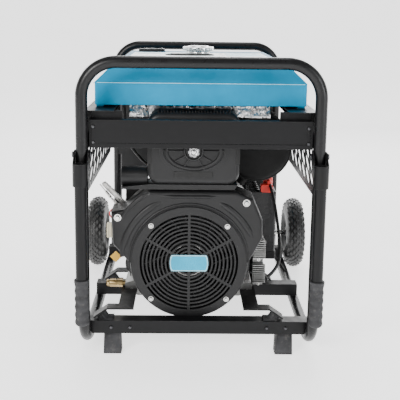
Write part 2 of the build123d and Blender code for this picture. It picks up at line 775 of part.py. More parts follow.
# ---- crankcase: a box with a wide sump flange, open for the shaft
CASE_BORE_R = 60.0
with BuildPart() as crankcase:
    with BuildSketch(front_plane(CASE_BACK_Y)):
        with BuildLine():
            Polyline(
                (CRANK_X - 105, 165),
                (CRANK_X - 110, 262),
                (CRANK_X - 40, 338),
                (CRANK_X + 40, 338),
                (CRANK_X + 110, 262),
                (CRANK_X + 105, 165),
                close=True,
            )
        make_face()
    extrude(amount=CASE_BACK_Y + 286)
    with BuildSketch(front_plane(CASE_BACK_Y)):
        with BuildLine():
            Polyline(
                (CRANK_X - 150, 112),
                (CRANK_X + 150, 112),
                (CRANK_X + 188, 132),
                (CRANK_X + 188, 150),
                (CRANK_X + 100, 172),
                (CRANK_X - 100, 172),
                (CRANK_X - 188, 150),
                (CRANK_X - 188, 132),
                close=True,
            )
        make_face()
    extrude(amount=CASE_BACK_Y + 286)
    fillet(crankcase.edges().filter_by(Axis.Y), 5)
    # crank chamber and the two shaft bearings' bores
    with BuildSketch(front_plane(CASE_BACK_Y - 14)):
        with Locations(CRANK_DOT):
            Circle(CASE_BORE_R)
    extrude(amount=182, mode=Mode.SUBTRACT)
    with BuildSketch(front_plane(CASE_BACK_Y + 10)):
        with Locations(CRANK_DOT):
            Circle(SHAFT_R + FIT)
    extrude(amount=240, mode=Mode.SUBTRACT)
    # tapped pads on the sump for the mounts, and the drain port
    with BuildSketch(Plane.YZ.offset(CRANK_X - 200)):
        with Locations((-262, 141)):
            Circle(8)
    extrude(amount=40, mode=Mode.SUBTRACT)
    # dipstick tube bore on the right shoulder
    with BuildSketch(Plane.XY.offset(120)):
        with Locations((CRANK_X + 150, -120)):
            Circle(6.2)
    extrude(amount=80, mode=Mode.SUBTRACT)
save(crankcase, "crankcase")

with BuildPart() as crankshaft:
    # main shaft, from the fan nut to the alternator's far bearing
    with BuildSketch(front_plane(ALTERNATOR_BACK_Y - 6)):
        with Locations(CRANK_DOT):
            Circle(SHAFT_R)
    extrude(amount=ALTERNATOR_BACK_Y - 6 + 372)
    # crank webs and the shared pin
    for y in (-110, -200):
        with BuildSketch(front_plane(y)):
            with Locations((CRANK_X, CRANK_Z)):
                Circle(50)
        extrude(amount=22)
save(crankshaft, "crankshaft")


def cylinder(side, front_y):
    """Finned barrel, head and rocker cover of one cylinder of the vee."""
    lean = Plane(
        origin=(CRANK_X, front_y + 55, CRANK_Z),
        x_dir=(0, 1, 0),
        z_dir=(side * sin(radians(45)), 0, cos(radians(45))),
    )
    with BuildPart() as barrel:
        with BuildSketch(lean.offset(80)):
            Circle(40)
        extrude(amount=100)
        for i in range(7):
            with BuildSketch(lean.offset(108 + 9 * i)):
                RectangleRounded(110, 104, 14)
            extrude(amount=3)
        with BuildSketch(lean.offset(171)):
            RectangleRounded(104, 100, 12)
        extrude(amount=30)
        with BuildSketch(lean.offset(201)):
            RectangleRounded(90, 84, 14)
        extrude(amount=30)
        # seated on the crankcase
        add(crankcase.part, mode=Mode.SUBTRACT)
        with Locations((CRANK_X, -180, CRANK_Z)):
            Box(190, 300, 60, mode=Mode.SUBTRACT)
    return barrel


left_cylinder = cylinder(-1, -284)
save(left_cylinder, "left_cylinder")
right_cylinder = cylinder(1, -256)
save(right_cylinder, "right_cylinder")

# ---- intake: carburettor in the vee, air cleaner above the shroud
COVER_X = (-145.0, 109.0)
COVER_Z = (472.0, 673.0)
COVER_FRONT_Y = -396.0
COVER_BACK_Y = -310.0
KNOB_X = -18.0
KNOB_Z = 568.0
cover_mid = ((COVER_X[0] + COVER_X[1]) / 2, (COVER_Z[0] + COVER_Z[1]) / 2)
cover_w = COVER_X[1] - COVER_X[0]
cover_h = COVER_Z[1] - COVER_Z[0]

with BuildPart() as air_cleaner_cover:
    with BuildSketch(front_plane(COVER_BACK_Y)):
        with Locations(cover_mid):
            RectangleRounded(cover_w, cover_h, 34)
    extrude(amount=COVER_BACK_Y - COVER_FRONT_Y - 8)
    fillet(air_cleaner_cover.faces().sort_by(Axis.Y)[0].edges(), 16)
    # raised dial
    with BuildSketch(front_plane(COVER_FRONT_Y + 8)):
        with Locations((KNOB_X, KNOB_Z)):
            Ellipse(94, 66)
            Ellipse(84, 56, mode=Mode.SUBTRACT)
            with PolarLocations(0, 6):
                Rectangle(168, 3)
            Circle(24)
    extrude(amount=4)
    # hollow for the element
    with BuildSketch(front_plane(COVER_BACK_Y)):
        with Locations(cover_mid):
            RectangleRounded(cover_w - 6, cover_h - 6, 30)
    extrude(amount=COVER_BACK_Y - COVER_FRONT_Y - 20, mode=Mode.SUBTRACT)
    with BuildSketch(front_plane(COVER_BACK_Y)):
        with Locations((KNOB_X, KNOB_Z)):
            Circle(5 + FIT)
    extrude(amount=100, mode=Mode.SUBTRACT)
save(air_cleaner_cover, "air_cleaner_cover")

with BuildPart() as air_cleaner_base:
    with BuildSketch(front_plane(COVER_BACK_Y + 16)):
        with Locations(cover_mid):
            RectangleRounded(cover_w, cover_h, 34)
    extrude(amount=15.9)
    # lower deck in front of the base, over the shroud
    with BuildSketch(front_plane(COVER_BACK_Y + 16)):
        with BuildLine():
            Polyline(
                (-216, 456), (-216, 462), (-140, 470), (104, 470), (96, 456), close=True
            )
        make_face()
    extrude(amount=82)
    # rib that joins the deck to the back plate
    with BuildSketch(front_plane(COVER_BACK_Y + 16)):
        with Locations((-22, 472)):
            Rectangle(210, 26)
    extrude(amount=15.9)
    # snorkel
    with BuildSketch(Plane.YZ.offset(-218)):
        with Locations((-340, 486)):
            Circle(28)
            Circle(25, mode=Mode.SUBTRACT)
    extrude(amount=72)
    # stud for the knob
    with BuildSketch(front_plane(COVER_BACK_Y + 6)):
        with Locations((KNOB_X, KNOB_Z)):
            Circle(5)
    extrude(amount=90)
    # outlet down to the carburettor
    with BuildSketch(front_plane(-250)):
        with Locations((CRANK_X, 498)):
            Circle(24)
    extrude(amount=44)
save(air_cleaner_base, "air_cleaner_base")

with BuildPart() as air_cleaner_knob:
    with BuildSketch(front_plane(COVER_FRONT_Y + 3.6)):
        with Locations((KNOB_X, KNOB_Z)):
            Circle(16)
            with PolarLocations(18, 7):
                Circle(4, mode=Mode.SUBTRACT)
    extrude(amount=15)
    fillet(air_cleaner_knob.faces().sort_by(Axis.Y)[0].edges(), 2)
    with BuildSketch(front_plane(COVER_FRONT_Y + 3.6)):
        with Locations((KNOB_X, KNOB_Z)):
            Circle(5 + FIT)
    extrude(amount=5, mode=Mode.SUBTRACT)
save(air_cleaner_knob, "air_cleaner_knob")

with BuildPart() as carburettor:
    # inlet elbow, body with float bowl, and the two armed manifold
    with BuildSketch(front_plane(-190)):
        with Locations((CRANK_X, 498)):
            Circle(26)
    extrude(amount=59.9)
    with BuildSketch(Plane.XY.offset(398)):
        with Locations((CRANK_X, -216)):
            RectangleRounded(58, 50, 10)
    extrude(amount=88)
    with BuildSketch(Plane.XY.offset(374)):
        with Locations((CRANK_X, -216)):
            Circle(24)
    extrude(amount=30)
save(carburettor, "carburettor")

# ---- exhaust
MUFFLER_X = 165.0
MUFFLER_Z = 560.0
MUFFLER_R = 102.0
MUFFLER_Y = (-272.0, 140.0)
with BuildPart() as muffler:
    with BuildSketch(front_plane(MUFFLER_Y[1])):
        with Locations((MUFFLER_X, MUFFLER_Z)):
            Circle(MUFFLER_R)
    extrude(amount=MUFFLER_Y[1] - MUFFLER_Y[0])
    fillet(muffler.edges().filter_by(GeomType.CIRCLE), 16)
    # outlet stub on the rear end
    with BuildSketch(front_plane(MUFFLER_Y[1] + 30)):
        with Locations((MUFFLER_X + 30, MUFFLER_Z + 20)):
            Circle(20)
            Circle(17, mode=Mode.SUBTRACT)
    extrude(amount=32)
save(muffler, "muffler")

with BuildPart() as exhaust_pipe:
    # from the right head, back and up into the muffler's underside
    add(
        bent_bar(
            [(118, -140, 392), (118, -92, 392), (150, -60, 430), (160, -60, 470)],
            [22, 24],
            15,
        )
    )
    add(muffler.part, mode=Mode.SUBTRACT)
    add(right_cylinder.part, mode=Mode.SUBTRACT)
save(exhaust_pipe, "exhaust_pipe")

with BuildPart() as starter_motor:
    with BuildSketch(front_plane(-130)):
        with Locations((CRANK_X - 152, 205)):
            Circle(36)
    extrude(amount=140)
    fillet(starter_motor.edges().filter_by(GeomType.CIRCLE).sort_by(Axis.Y)[-1:], 6)
    with BuildSketch(front_plane(-150)):
        with Locations((CRANK_X - 152, 257)):
            Circle(17)
    extrude(amount=90)
    with BuildSketch(front_plane(-160)):
        with Locations((CRANK_X - 152, 236)):
            Rectangle(22, 26)
    extrude(amount=60)
    add(crankcase.part, mode=Mode.SUBTRACT)
    add(left_cylinder.part, mode=Mode.SUBTRACT)
save(starter_motor, "starter_motor")

with BuildPart() as oil_drain_pipe:
    with BuildSketch(Plane.YZ.offset(-268)):
        with Locations((-262, 141)):
            Circle(8)
    extrude(amount=-268 * -1 + CRANK_X - 188 + 26)
    with BuildSketch(Plane.YZ.offset(-262)):
        with Locations((-262, 141)):
            RegularPolygon(12, 6)
    extrude(amount=38)
    with BuildSketch(Plane.YZ.offset(-272)):
        with Locations((-262, 141)):
            RegularPolygon(10, 6)
    extrude(amount=8)
save(oil_drain_pipe, "oil_drain_pipe")

with BuildPart() as oil_dipstick:
    # loop handle, cap and blade, standing in its bore on the sump
    stick = (CRANK_X + 150, -120)
    with BuildSketch(Plane.XY.offset(125)):
        with Locations(stick):
            Circle(2)
    extrude(amount=60)
    with BuildSketch(Plane.XY.offset(157)):
        with Locations(stick):
            Circle(6.1)
    extrude(amount=48)
    with BuildSketch(Plane.XY.offset(205)):
        with Locations(stick):
            Circle(9)
    extrude(amount=8)
    with BuildSketch(Plane.YZ.offset(stick[0] - 2)):
        with Locations((stick[1], 222)):
            Circle(12)
            Circle(8, mode=Mode.SUBTRACT)
    extrude(amount=4)
save(oil_dipstick, "oil_dipstick")

with BuildPart() as regulator_blocks:
    # two finned aluminium rectifiers on a strip beside the engine
    for z in (182, 256):
        with BuildSketch(front_plane(-268)):
            with Locations((178, z)):
                Rectangle(34, 56)
        extrude(amount=22)
        with BuildSketch(Plane.XY.offset(z - 28)):
            with Locations(*[(197.5, -272 - 4 * i) for i in range(4)]):
                Rectangle(7, 1.6)
        extrude(amount=56)
    with BuildSketch(front_plane(-264)):
        with Locations((178, 216)):
            Rectangle(30, 150)
    extrude(amount=3.9)
save(regulator_blocks, "regulator_blocks")

THROTTLE_PIVOT = (-196.0, -300.0, 372.0)
with BuildPart() as throttle_lever:
    # arm on the left ear with a silver sleeve that points up and outwards
    with BuildSketch(front_plane(THROTTLE_PIVOT[1] + 14)):
        with Locations((-236, 412)):
            SlotOverall(120, 14, rotation=-45)
        with Locations((-274, 450)):
            Circle(4)
    extrude(amount=4)
    with BuildSketch(
        Plane(origin=(-232, THROTTLE_PIVOT[1] + 19, 408), z_dir=(-0.72, 0, 0.70))
    ):
        Circle(7)
    extrude(amount=62)
save(throttle_lever, "throttle_lever")

# ---- engine mounts: folded brackets on the sump, rubber isolators below them
with BuildPart() as engine_mount_brackets:
    for side in (-1, 1):
        x = CRANK_X + side * ISOLATOR_DX
        inner = CRANK_X + side * 152
        for y, depth in ((-418, 34), (-118, 34)):
            with BuildSketch(front_plane(y + depth / 2)):
                with BuildLine():
                    Polyline(
                        (inner, 132.5),
                        (x - side * 24, 132.5),
                        (x + side * 14, 106),
                        (x + side * 11, 102),
                        (x - side * 26, 128),
                        (inner, 128),
                        close=True,
                    )
                make_face()
            extrude(amount=depth)
        # strap that ties the front bracket back to the sump
        with BuildSketch(Plane.XY.offset(128)):
            with Locations(((inner + side * 22), -330)):
                Rectangle(44, 150)
        extrude(amount=4.5)
    add(crankcase.part, mode=Mode.SUBTRACT)
    add(oil_drain_pipe.part, mode=Mode.SUBTRACT)
save(engine_mount_brackets, "engine_mount_brackets")

with BuildPart() as rubber_isolators:
    for side in (-1, 1):
        x = CRANK_X + side * ISOLATOR_DX
        for y, seat in ((-418, CHANNEL_TOP_Z), (-118, MEMBER_TOP_Z)):
            lean = Plane(origin=(x - side * 7, y, 112), z_dir=(-side * 0.55, 0, -0.83))
            with BuildSketch(lean):
                Circle(15)
            extrude(amount=60)
            with BuildSketch(Plane.XY.offset(seat)):
                with Locations((x - side * 22, y)):
                    Rectangle(40, 34)
            extrude(amount=5)
            with Locations((x, y, seat - 60)):
                Box(200, 100, 120, mode=Mode.SUBTRACT)
    add(engine_mount_brackets.part, mode=Mode.SUBTRACT)
    add(crankcase.part, mode=Mode.SUBTRACT)
save(rubber_isolators, "rubber_isolators")

# ================================================================== alternator
ALT_R = 145.0
with BuildPart() as alternator_housing:
    with BuildSketch(front_plane(ALTERNATOR_BACK_Y)):
        with Locations(CRANK_DOT):
            Circle(ALT_R)
            Circle(ALT_R - 6, mode=Mode.SUBTRACT)
    extrude(amount=ALTERNATOR_BACK_Y - CASE_BACK_Y)
    # end bells with vents and the shaft bores
    for y in (ALTERNATOR_BACK_Y, CASE_BACK_Y + 8):
        with BuildSketch(front_plane(y)):
            with Locations(CRANK_DOT):
                Circle(ALT_R - 5)
                Circle(SHAFT_R + FIT, mode=Mode.SUBTRACT)
                with PolarLocations(98, 12):
                    SlotOverall(52, 14, mode=Mode.SUBTRACT)
        extrude(amount=8)
    # feet down to the rear member
    with BuildSketch(front_plane(ALTERNATOR_BACK_Y)):
        with BuildLine():
            Polyline(
                (CRANK_X - 120, MEMBER_TOP_Z + 22),
                (CRANK_X + 120, MEMBER_TOP_Z + 22),
                (CRANK_X + 120, MEMBER_TOP_Z + 30),
                (CRANK_X + 60, 130),
                (CRANK_X - 60, 130),
                (CRANK_X - 120, MEMBER_TOP_Z + 30),
                close=True,
            )
        make_face()
    extrude(amount=20)
    with BuildSketch(Plane.XY.offset(MEMBER_TOP_Z)):
        with Locations((CRANK_X - 96, 268), (CRANK_X + 96, 268)):
            Rectangle(40, 76)
    extrude(amount=28)
    with BuildSketch(front_plane(ALTERNATOR_BACK_Y - 10)):
        with Locations(CRANK_DOT):
            Circle(ALT_R - 6)
    extrude(amount=ALTERNATOR_BACK_Y - CASE_BACK_Y - 20, mode=Mode.SUBTRACT)
save(alternator_housing, "alternator_housing")

with BuildPart() as stator:
    with BuildSketch(front_plane(195)):
        with Locations(CRANK_DOT):
            Circle(ALT_R - 6)
            Circle(98, mode=Mode.SUBTRACT)
            with PolarLocations(98, 24):
                Rectangle(18, 7, mode=Mode.SUBTRACT)
    extrude(amount=220)
save(stator, "stator")

with BuildPart() as alternator_rotor:
    with BuildSketch(front_plane(190)):
        with Locations(CRANK_DOT):
            Circle(96)
            Circle(SHAFT_R, mode=Mode.SUBTRACT)
            with PolarLocations(84, 4):
                Rectangle(36, 26, mode=Mode.SUBTRACT)
    extrude(amount=210)
save(alternator_rotor, "alternator_rotor")

# ================================================================= control box
BOX_WALL = 2.0
OUTLET_X = (-150.0, -40.0)
OUTLET_Z = 440.0
OUTLET_W = 74.0
DINSE_X = (120.0, 220.0)
DINSE_Z = 420.0
KNOB_R = 22.0
CURRENT_DOT = (170.0, 530.0)
KEY_DOT = (-240.0, 590.0)
CHOKE_DOT = (-240.0, 520.0)
BREAKER_DOT = (20.0, 590.0)
METER_DOT = (-120.0, 590.0)

with BuildPart() as control_box:
    # folded box, open at the back where the panel closes it
    with BuildSketch(front_plane(PANEL_Y - SHEET)):
        with Locations((0, (BOX_LOW_Z + BOX_TOP_Z) / 2)):
            RectangleRounded(2 * BOX_X, BOX_TOP_Z - BOX_LOW_Z, 6)
    extrude(amount=PANEL_Y - SHEET - BOX_FRONT_Y)
    with BuildSketch(front_plane(PANEL_Y - SHEET)):
        with Locations((0, (BOX_LOW_Z + BOX_TOP_Z) / 2)):
            RectangleRounded(2 * (BOX_X - BOX_WALL), BOX_TOP_Z - BOX_LOW_Z - 2 * BOX_WALL, 4)
    extrude(amount=PANEL_Y - SHEET - BOX_FRONT_Y - BOX_WALL, mode=Mode.SUBTRACT)
    # side tabs to the rear legs
    for side in (-1, 1):
        for z in (390, 620):
            with BuildSketch(Plane.XY.offset(z)):
                with Locations((side * (BOX_X + 10), REAR_Y - 28)):
                    Rectangle(20, 16)
            extrude(amount=30)
    add(rear_hoop.part, mode=Mode.SUBTRACT)
save(control_box, "control_box")

with BuildPart() as control_panel:
    with BuildSketch(rear_plane(PANEL_Y - SHEET + 0.1)):
        with Locations((0, (BOX_LOW_Z + BOX_TOP_Z) / 2)):
            RectangleRounded(2 * BOX_X, BOX_TOP_Z - BOX_LOW_Z, 6)
        for x in OUTLET_X:
            with Locations((-x, OUTLET_Z)):
                Circle(26, mode=Mode.SUBTRACT)
        for x in DINSE_X:
            with Locations((-x, DINSE_Z)):
                Circle(14.05, mode=Mode.SUBTRACT)
        for x, z in (CURRENT_DOT, KEY_DOT, CHOKE_DOT):
            with Locations((-x, z)):
                Circle(5.1, mode=Mode.SUBTRACT)
        with Locations((-BREAKER_DOT[0], BREAKER_DOT[1])):
            Rectangle(24.6, 34.6, mode=Mode.SUBTRACT)
        with Locations((-METER_DOT[0], METER_DOT[1])):
            Rectangle(90, 56, mode=Mode.SUBTRACT)
    extrude(amount=SHEET)
save(control_panel, "control_panel")

with BuildPart() as panel_meter:
    with BuildSketch(rear_plane(PANEL_Y - 24)):
        with Locations((-METER_DOT[0], METER_DOT[1])):
            Rectangle(89.8, 55.8)
    extrude(amount=24.2)
    with BuildSketch(rear_plane(PANEL_Y + 0.2)):
        with Locations((-METER_DOT[0], METER_DOT[1])):
            RectangleRounded(104, 68, 6)
    extrude(amount=6)
    with BuildSketch(rear_plane(PANEL_Y + 4)):
        with Locations((-METER_DOT[0], METER_DOT[1])):
            Rectangle(84, 46)
    extrude(amount=6, mode=Mode.SUBTRACT)
save(panel_meter, "panel_meter")

DINSE_FACE_Y = PANEL_Y + 14
with BuildPart() as welding_sockets:
    for x in DINSE_X:
        with BuildSketch(rear_plane(PANEL_Y - 30)):
            with Locations((-x, DINSE_Z)):
                Circle(14)
        extrude(amount=DINSE_FACE_Y - PANEL_Y + 30)
        with BuildSketch(rear_plane(PANEL_Y + 0.2)):
            with Locations((-x, DINSE_Z)):
                Circle(22)
        extrude(amount=6)
        with BuildSketch(rear_plane(DINSE_FACE_Y - 26)):
            with Locations((-x, DINSE_Z)):
                Circle(6.5)
        extrude(amount=40, mode=Mode.SUBTRACT)
save(welding_sockets, "welding_sockets")

OUTLET_FACE_Y = PANEL_Y + 8
COVER_AXIS_Y = OUTLET_FACE_Y + 4
COVER_AXIS_Z = OUTLET_Z + OUTLET_W / 2 + 2
with BuildPart() as power_outlets:
    for x in OUTLET_X:
        with BuildSketch(rear_plane(PANEL_Y + 0.2)):
            with Locations((-x, OUTLET_Z)):
                RectangleRounded(OUTLET_W, OUTLET_W, 8)
        extrude(amount=OUTLET_FACE_Y - PANEL_Y - 0.2)
        with BuildSketch(rear_plane(PANEL_Y - 30)):
            with Locations((-x, OUTLET_Z)):
                Circle(25.8)
        extrude(amount=31)
        # recess for the plug, with three contacts
        with BuildSketch(rear_plane(OUTLET_FACE_Y - 26)):
            with Locations((-x, OUTLET_Z)):
                Circle(21)
        extrude(amount=40, mode=Mode.SUBTRACT)
        # hinge ear for the cover
        with BuildSketch(Plane.YZ.offset(x - 12)):
            with Locations((COVER_AXIS_Y, COVER_AXIS_Z)):
                Circle(3.6)
            with Locations((COVER_AXIS_Y - 3, COVER_AXIS_Z - 3)):
                Rectangle(7, 6)
        extrude(amount=24)
        with BuildSketch(Plane.YZ.offset(x - 13)):
            with Locations((COVER_AXIS_Y, COVER_AXIS_Z)):
                Circle(1.5 + FIT)
        extrude(amount=26, mode=Mode.SUBTRACT)
save(power_outlets, "power_outlets")


def outlet_cover(x):
    """Sprung flap over one outlet, hinged along its top edge."""
    with BuildPart() as flap:
        with BuildSketch(rear_plane(OUTLET_FACE_Y + 1)):
            with Locations((-x, OUTLET_Z - 4)):
                RectangleRounded(OUTLET_W - 4, OUTLET_W - 6, 10)
        extrude(amount=7)
        fillet(flap.faces().sort_by(Axis.Y)[-1].edges(), 3)
        for ear_x in (x - 19, x + 13):
            with BuildSketch(Plane.YZ.offset(ear_x)):
                with Locations((COVER_AXIS_Y, COVER_AXIS_Z)):
                    Circle(3.6)
                with Locations((COVER_AXIS_Y, COVER_AXIS_Z - 7)):
                    Rectangle(5, 14)
            extrude(amount=6)
        with BuildSketch(Plane.YZ.offset(x - 19)):
            with Locations((COVER_AXIS_Y, COVER_AXIS_Z)):
                Circle(1.5)
        extrude(amount=38)
    return flap


left_outlet_cover = outlet_cover(OUTLET_X[0])
save(left_outlet_cover, "left_outlet_cover")
right_outlet_cover = outlet_cover(OUTLET_X[1])
save(right_outlet_cover, "right_outlet_cover")


with BuildPart() as current_knob:
    with BuildSketch(rear_plane(PANEL_Y + 1)):
        with Locations((-CURRENT_DOT[0], CURRENT_DOT[1])):
            Circle(KNOB_R)
            with PolarLocations(KNOB_R + 1.5, 12):
                Circle(3, mode=Mode.SUBTRACT)
    extrude(amount=18, taper=4)
    with BuildSketch(rear_plane(PANEL_Y - 16)):
        with Locations((-CURRENT_DOT[0], CURRENT_DOT[1])):
            Circle(5)
    extrude(amount=20)
save(current_knob, "current_knob")

with BuildPart() as ignition_key:
    with BuildSketch(rear_plane(PANEL_Y + 1)):
        with Locations((-KEY_DOT[0], KEY_DOT[1])):
            Circle(11)
    extrude(amount=6)
    with BuildSketch(rear_plane(PANEL_Y - 20)):
        with Locations((-KEY_DOT[0], KEY_DOT[1])):
            Circle(5)
    extrude(amount=24)
    with BuildSketch(Plane.YZ.offset(KEY_DOT[0] - 1.2)):
        with Locations((PANEL_Y + 20, KEY_DOT[1])):
            SlotOverall(30, 20)
    extrude(amount=2.4)
save(ignition_key, "ignition_key")

with BuildPart() as choke_knob:
    with BuildSketch(rear_plane(PANEL_Y - 40)):
        with Locations((-CHOKE_DOT[0], CHOKE_DOT[1])):
            Circle(5)
    extrude(amount=46)
    with BuildSketch(rear_plane(PANEL_Y + 4)):
        with Locations((-CHOKE_DOT[0], CHOKE_DOT[1])):
            Circle(13)
    extrude(amount=12)
    fillet(choke_knob.faces().sort_by(Axis.Y)[-1].edges(), 3)
save(choke_knob, "choke_knob")

with BuildPart() as breaker_switch:
    # rocker that turns about its own middle, front to back
    with BuildSketch(Plane.YZ.offset(BREAKER_DOT[0] - 11)):
        with Locations((PANEL_Y - 2, BREAKER_DOT[1])):
            Circle(13)
        with Locations((PANEL_Y + 12, BREAKER_DOT[1])):
            Rectangle(12, 7)
    extrude(amount=22)
save(breaker_switch, "breaker_switch")

# ==================================================================== battery
with BuildPart() as battery:
    with BuildSketch(Plane.XY.offset(BATTERY_Z[0])):
        with Locations((tray_x, tray_y)):
            RectangleRounded(122, 188, 5)
    extrude(amount=BATTERY_Z[1] - BATTERY_Z[0])
    fillet(battery.edges().group_by(Axis.Z)[-1], 3)
    with BuildSketch(Plane.XY.offset(BATTERY_Z[1])):
        with Locations((tray_x + 36, BATTERY_Y[0] + 28), (tray_x - 36, BATTERY_Y[0] + 28)):
            Circle(9)
    extrude(amount=16)
save(battery, "battery")

# ============================================================= wires and hoses
HOSE_ROUTE = [
    (-222, -216, 692.9),
    (-222, -216, 630),
    (-212, -214, 560),
    (-170, -218, 505),
    (-112, -214, 466),
    (-58.8, -216, 448),
]
BATTERY_ROUTE = [
    (229, -8, 400),
    (231, -50, 404),
    (240, -110, 362),
    (246, -165, 304),
    (250, -220, 242),
    (240, -262, 190),
    (205.0, -279, 168),
]
LEFT_LEAD_ROUTE = [
    (-124.1, -229, 416.95),
    (-108, -229, 433),
    (-92, -196, 440),
    (-82, -150, 405),
    (-60, -112, 365),
    (-60, -110, 338.6),
]
RIGHT_LEAD_ROUTE = [
    (68.05, -201, 416.95),
    (52, -201, 433),
    (40, -170, 440),
    (28, -130, 400),
    (8, -112, 365),
    (8, -110, 338.6),
]

print("hose radii", [round(r) for r in cord_radii(HOSE_ROUTE)])
print("battery cable radii", [round(r) for r in cord_radii(BATTERY_ROUTE)])
print("lead radii", [round(r) for r in cord_radii(LEFT_LEAD_ROUTE)])

with BuildPart() as fuel_hose:
    add(cord(HOSE_ROUTE, 4.5))
save(fuel_hose, "fuel_hose")

with BuildPart() as engine_wiring:
    add(cord(BATTERY_ROUTE, 5))
    add(cord(LEFT_LEAD_ROUTE, 3.5))
    add(cord(RIGHT_LEAD_ROUTE, 3.5))
save(engine_wiring, "engine_wiring")
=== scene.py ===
"""Looks of the engine driven welder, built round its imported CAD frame."""

import bmesh
import bpy
import json
import math
from mathutils import Matrix, Vector, noise


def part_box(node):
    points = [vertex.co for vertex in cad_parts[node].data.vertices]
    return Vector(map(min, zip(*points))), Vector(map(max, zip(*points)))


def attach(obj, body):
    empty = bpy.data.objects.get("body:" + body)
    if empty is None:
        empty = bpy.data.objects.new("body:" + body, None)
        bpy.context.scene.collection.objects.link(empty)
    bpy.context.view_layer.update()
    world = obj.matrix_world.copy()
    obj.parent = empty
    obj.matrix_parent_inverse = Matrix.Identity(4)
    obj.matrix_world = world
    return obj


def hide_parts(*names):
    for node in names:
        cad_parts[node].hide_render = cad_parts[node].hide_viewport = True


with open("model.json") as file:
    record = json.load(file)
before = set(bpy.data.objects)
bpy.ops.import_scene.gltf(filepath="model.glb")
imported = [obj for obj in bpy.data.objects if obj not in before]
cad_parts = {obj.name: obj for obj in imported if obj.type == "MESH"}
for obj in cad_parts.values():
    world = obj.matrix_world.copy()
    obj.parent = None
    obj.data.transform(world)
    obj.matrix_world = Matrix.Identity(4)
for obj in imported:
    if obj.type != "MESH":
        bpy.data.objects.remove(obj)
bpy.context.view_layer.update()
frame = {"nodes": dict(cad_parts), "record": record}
NODES = frame["nodes"]
MM = 0.001
RIGHT, BACK, UP = (1, 0, 0), (0, 1, 0), (0, 0, 1)
FORWARD = (0, -1, 0)

# the fan's axis and the shroud's front wall, in mm
GRILLE_X, GRILLE_Z = -28.0, 250.0
FRONT_WALL = -386.0
GRILLE_SCREW_RADIUS = 150.0
# the tank's flat top is this far below its highest point, and the painted highlight line round its
# shoulders is at this height
TANK_TOP_DROP = 0.012
TANK_HIGHLIGHT_Z = 0.7525

# ===================================================================== camera
camera = bpy.data.objects.new("camera", bpy.data.cameras.new("camera"))
bpy.context.scene.collection.objects.link(camera)
camera.data.sensor_width = 36
camera.data.lens = 66.79
camera.data.shift_x = 0.01
camera.data.shift_y = -0.15
camera.location = (-0.0386, -2.3805, 0.9399)
PITCH, YAW, ROLL = math.radians(9.732), math.radians(0.759), math.radians(0.698)
camera.rotation_euler = (
    Matrix.Rotation(-YAW, 4, "Z")
    @ Matrix.Rotation(math.radians(90) - PITCH, 4, "X")
    @ Matrix.Rotation(ROLL, 4, "Z")
).to_euler()
bpy.context.scene.camera = camera


# ================================================================== materials
class Paint:
    """One node material: principled shader, with helpers for its textures."""

    def __init__(self, name):
        self.material = bpy.data.materials.new(name)
        self.material.use_nodes = True
        self.tree = self.material.node_tree
        self.shader = self.tree.nodes["Principled BSDF"]
        self.place = self.add("ShaderNodeTexCoord").outputs["Object"]

    def add(self, kind, **settings):
        node = self.tree.nodes.new(kind)
        for key, value in settings.items():
            setattr(node, key, value)
        return node

    def link(self, a, b):
        self.tree.links.new(a, b)

    def noise(self, scale, detail=4.0, rough=0.55):
        node = self.add("ShaderNodeTexNoise")
        node.inputs["Scale"].default_value = scale
        node.inputs["Detail"].default_value = detail
        node.inputs["Roughness"].default_value = rough
        self.link(self.place, node.inputs["Vector"])
        return node.outputs["Fac"]

    def cells(self, scale, feature="F1"):
        node = self.add("ShaderNodeTexVoronoi", feature=feature)
        node.inputs["Scale"].default_value = scale
        self.link(self.place, node.inputs["Vector"])
        return node.outputs["Distance"]

    def spread(self, value, low, high, to_low=0.0, to_high=1.0):
        node = self.add("ShaderNodeMapRange")
        for key, number in zip(
            ("From Min", "From Max", "To Min", "To Max"), (low, high, to_low, to_high)
        ):
            node.inputs[key].default_value = number
        self.link(value, node.inputs["Value"])
        return node.outputs["Result"]

    def mix(self, factor, a, b):
        node = self.add("ShaderNodeMix", data_type="RGBA")
        self.link(factor, node.inputs["Factor"])
        for socket, colour in ((node.inputs["A"], a), (node.inputs["B"], b)):
            if isinstance(colour, tuple):
                socket.default_value = (*colour, 1)
            else:
                self.link(colour, socket)
        return node.outputs["Result"]

    def times(self, a, b):
        node = self.add("ShaderNodeMath", operation="MULTIPLY")
        self.link(a, node.inputs[0])
        if isinstance(b, float):
            node.inputs[1].default_value = b
        else:
            self.link(b, node.inputs[1])
        return node.outputs[0]

    def edges(self, radius=0.0016):
        """1 on worn edges, where a rounded normal leaves the true one, broken up by noise."""
        soft = self.add("ShaderNodeBevel", samples=4)
        soft.inputs["Radius"].default_value = radius
        true = self.add("ShaderNodeNewGeometry").outputs["Normal"]
        dot = self.add("ShaderNodeVectorMath", operation="DOT_PRODUCT")
        self.link(soft.outputs["Normal"], dot.inputs[0])
        self.link(true, dot.inputs[1])
        worn = self.spread(dot.outputs["Value"], 0.985, 0.86)
        return self.times(worn, self.spread(self.noise(140), 0.42, 0.62))

    def bump(self, height, strength, distance, under=None):
        node = self.add("ShaderNodeBump")
        node.inputs["Strength"].default_value = strength
        node.inputs["Distance"].default_value = distance
        self.link(height, node.inputs["Height"])
        if under is not None:
            self.link(under, node.inputs["Normal"])
        return node.outputs["Normal"]

    def done(self, colour, rough, normal, metal=0.0, **sockets):
        self.link(colour, self.shader.inputs["Base Color"])
        self.link(rough, self.shader.inputs["Roughness"])
        self.link(normal, self.shader.inputs["Normal"])
        self.shader.inputs["Metallic"].default_value = metal
        for key, value in sockets.items():
            self.shader.inputs[key].default_value = value
        return self.material


def shade(colour, factor):
    return tuple(min(1.0, c * factor) for c in colour)


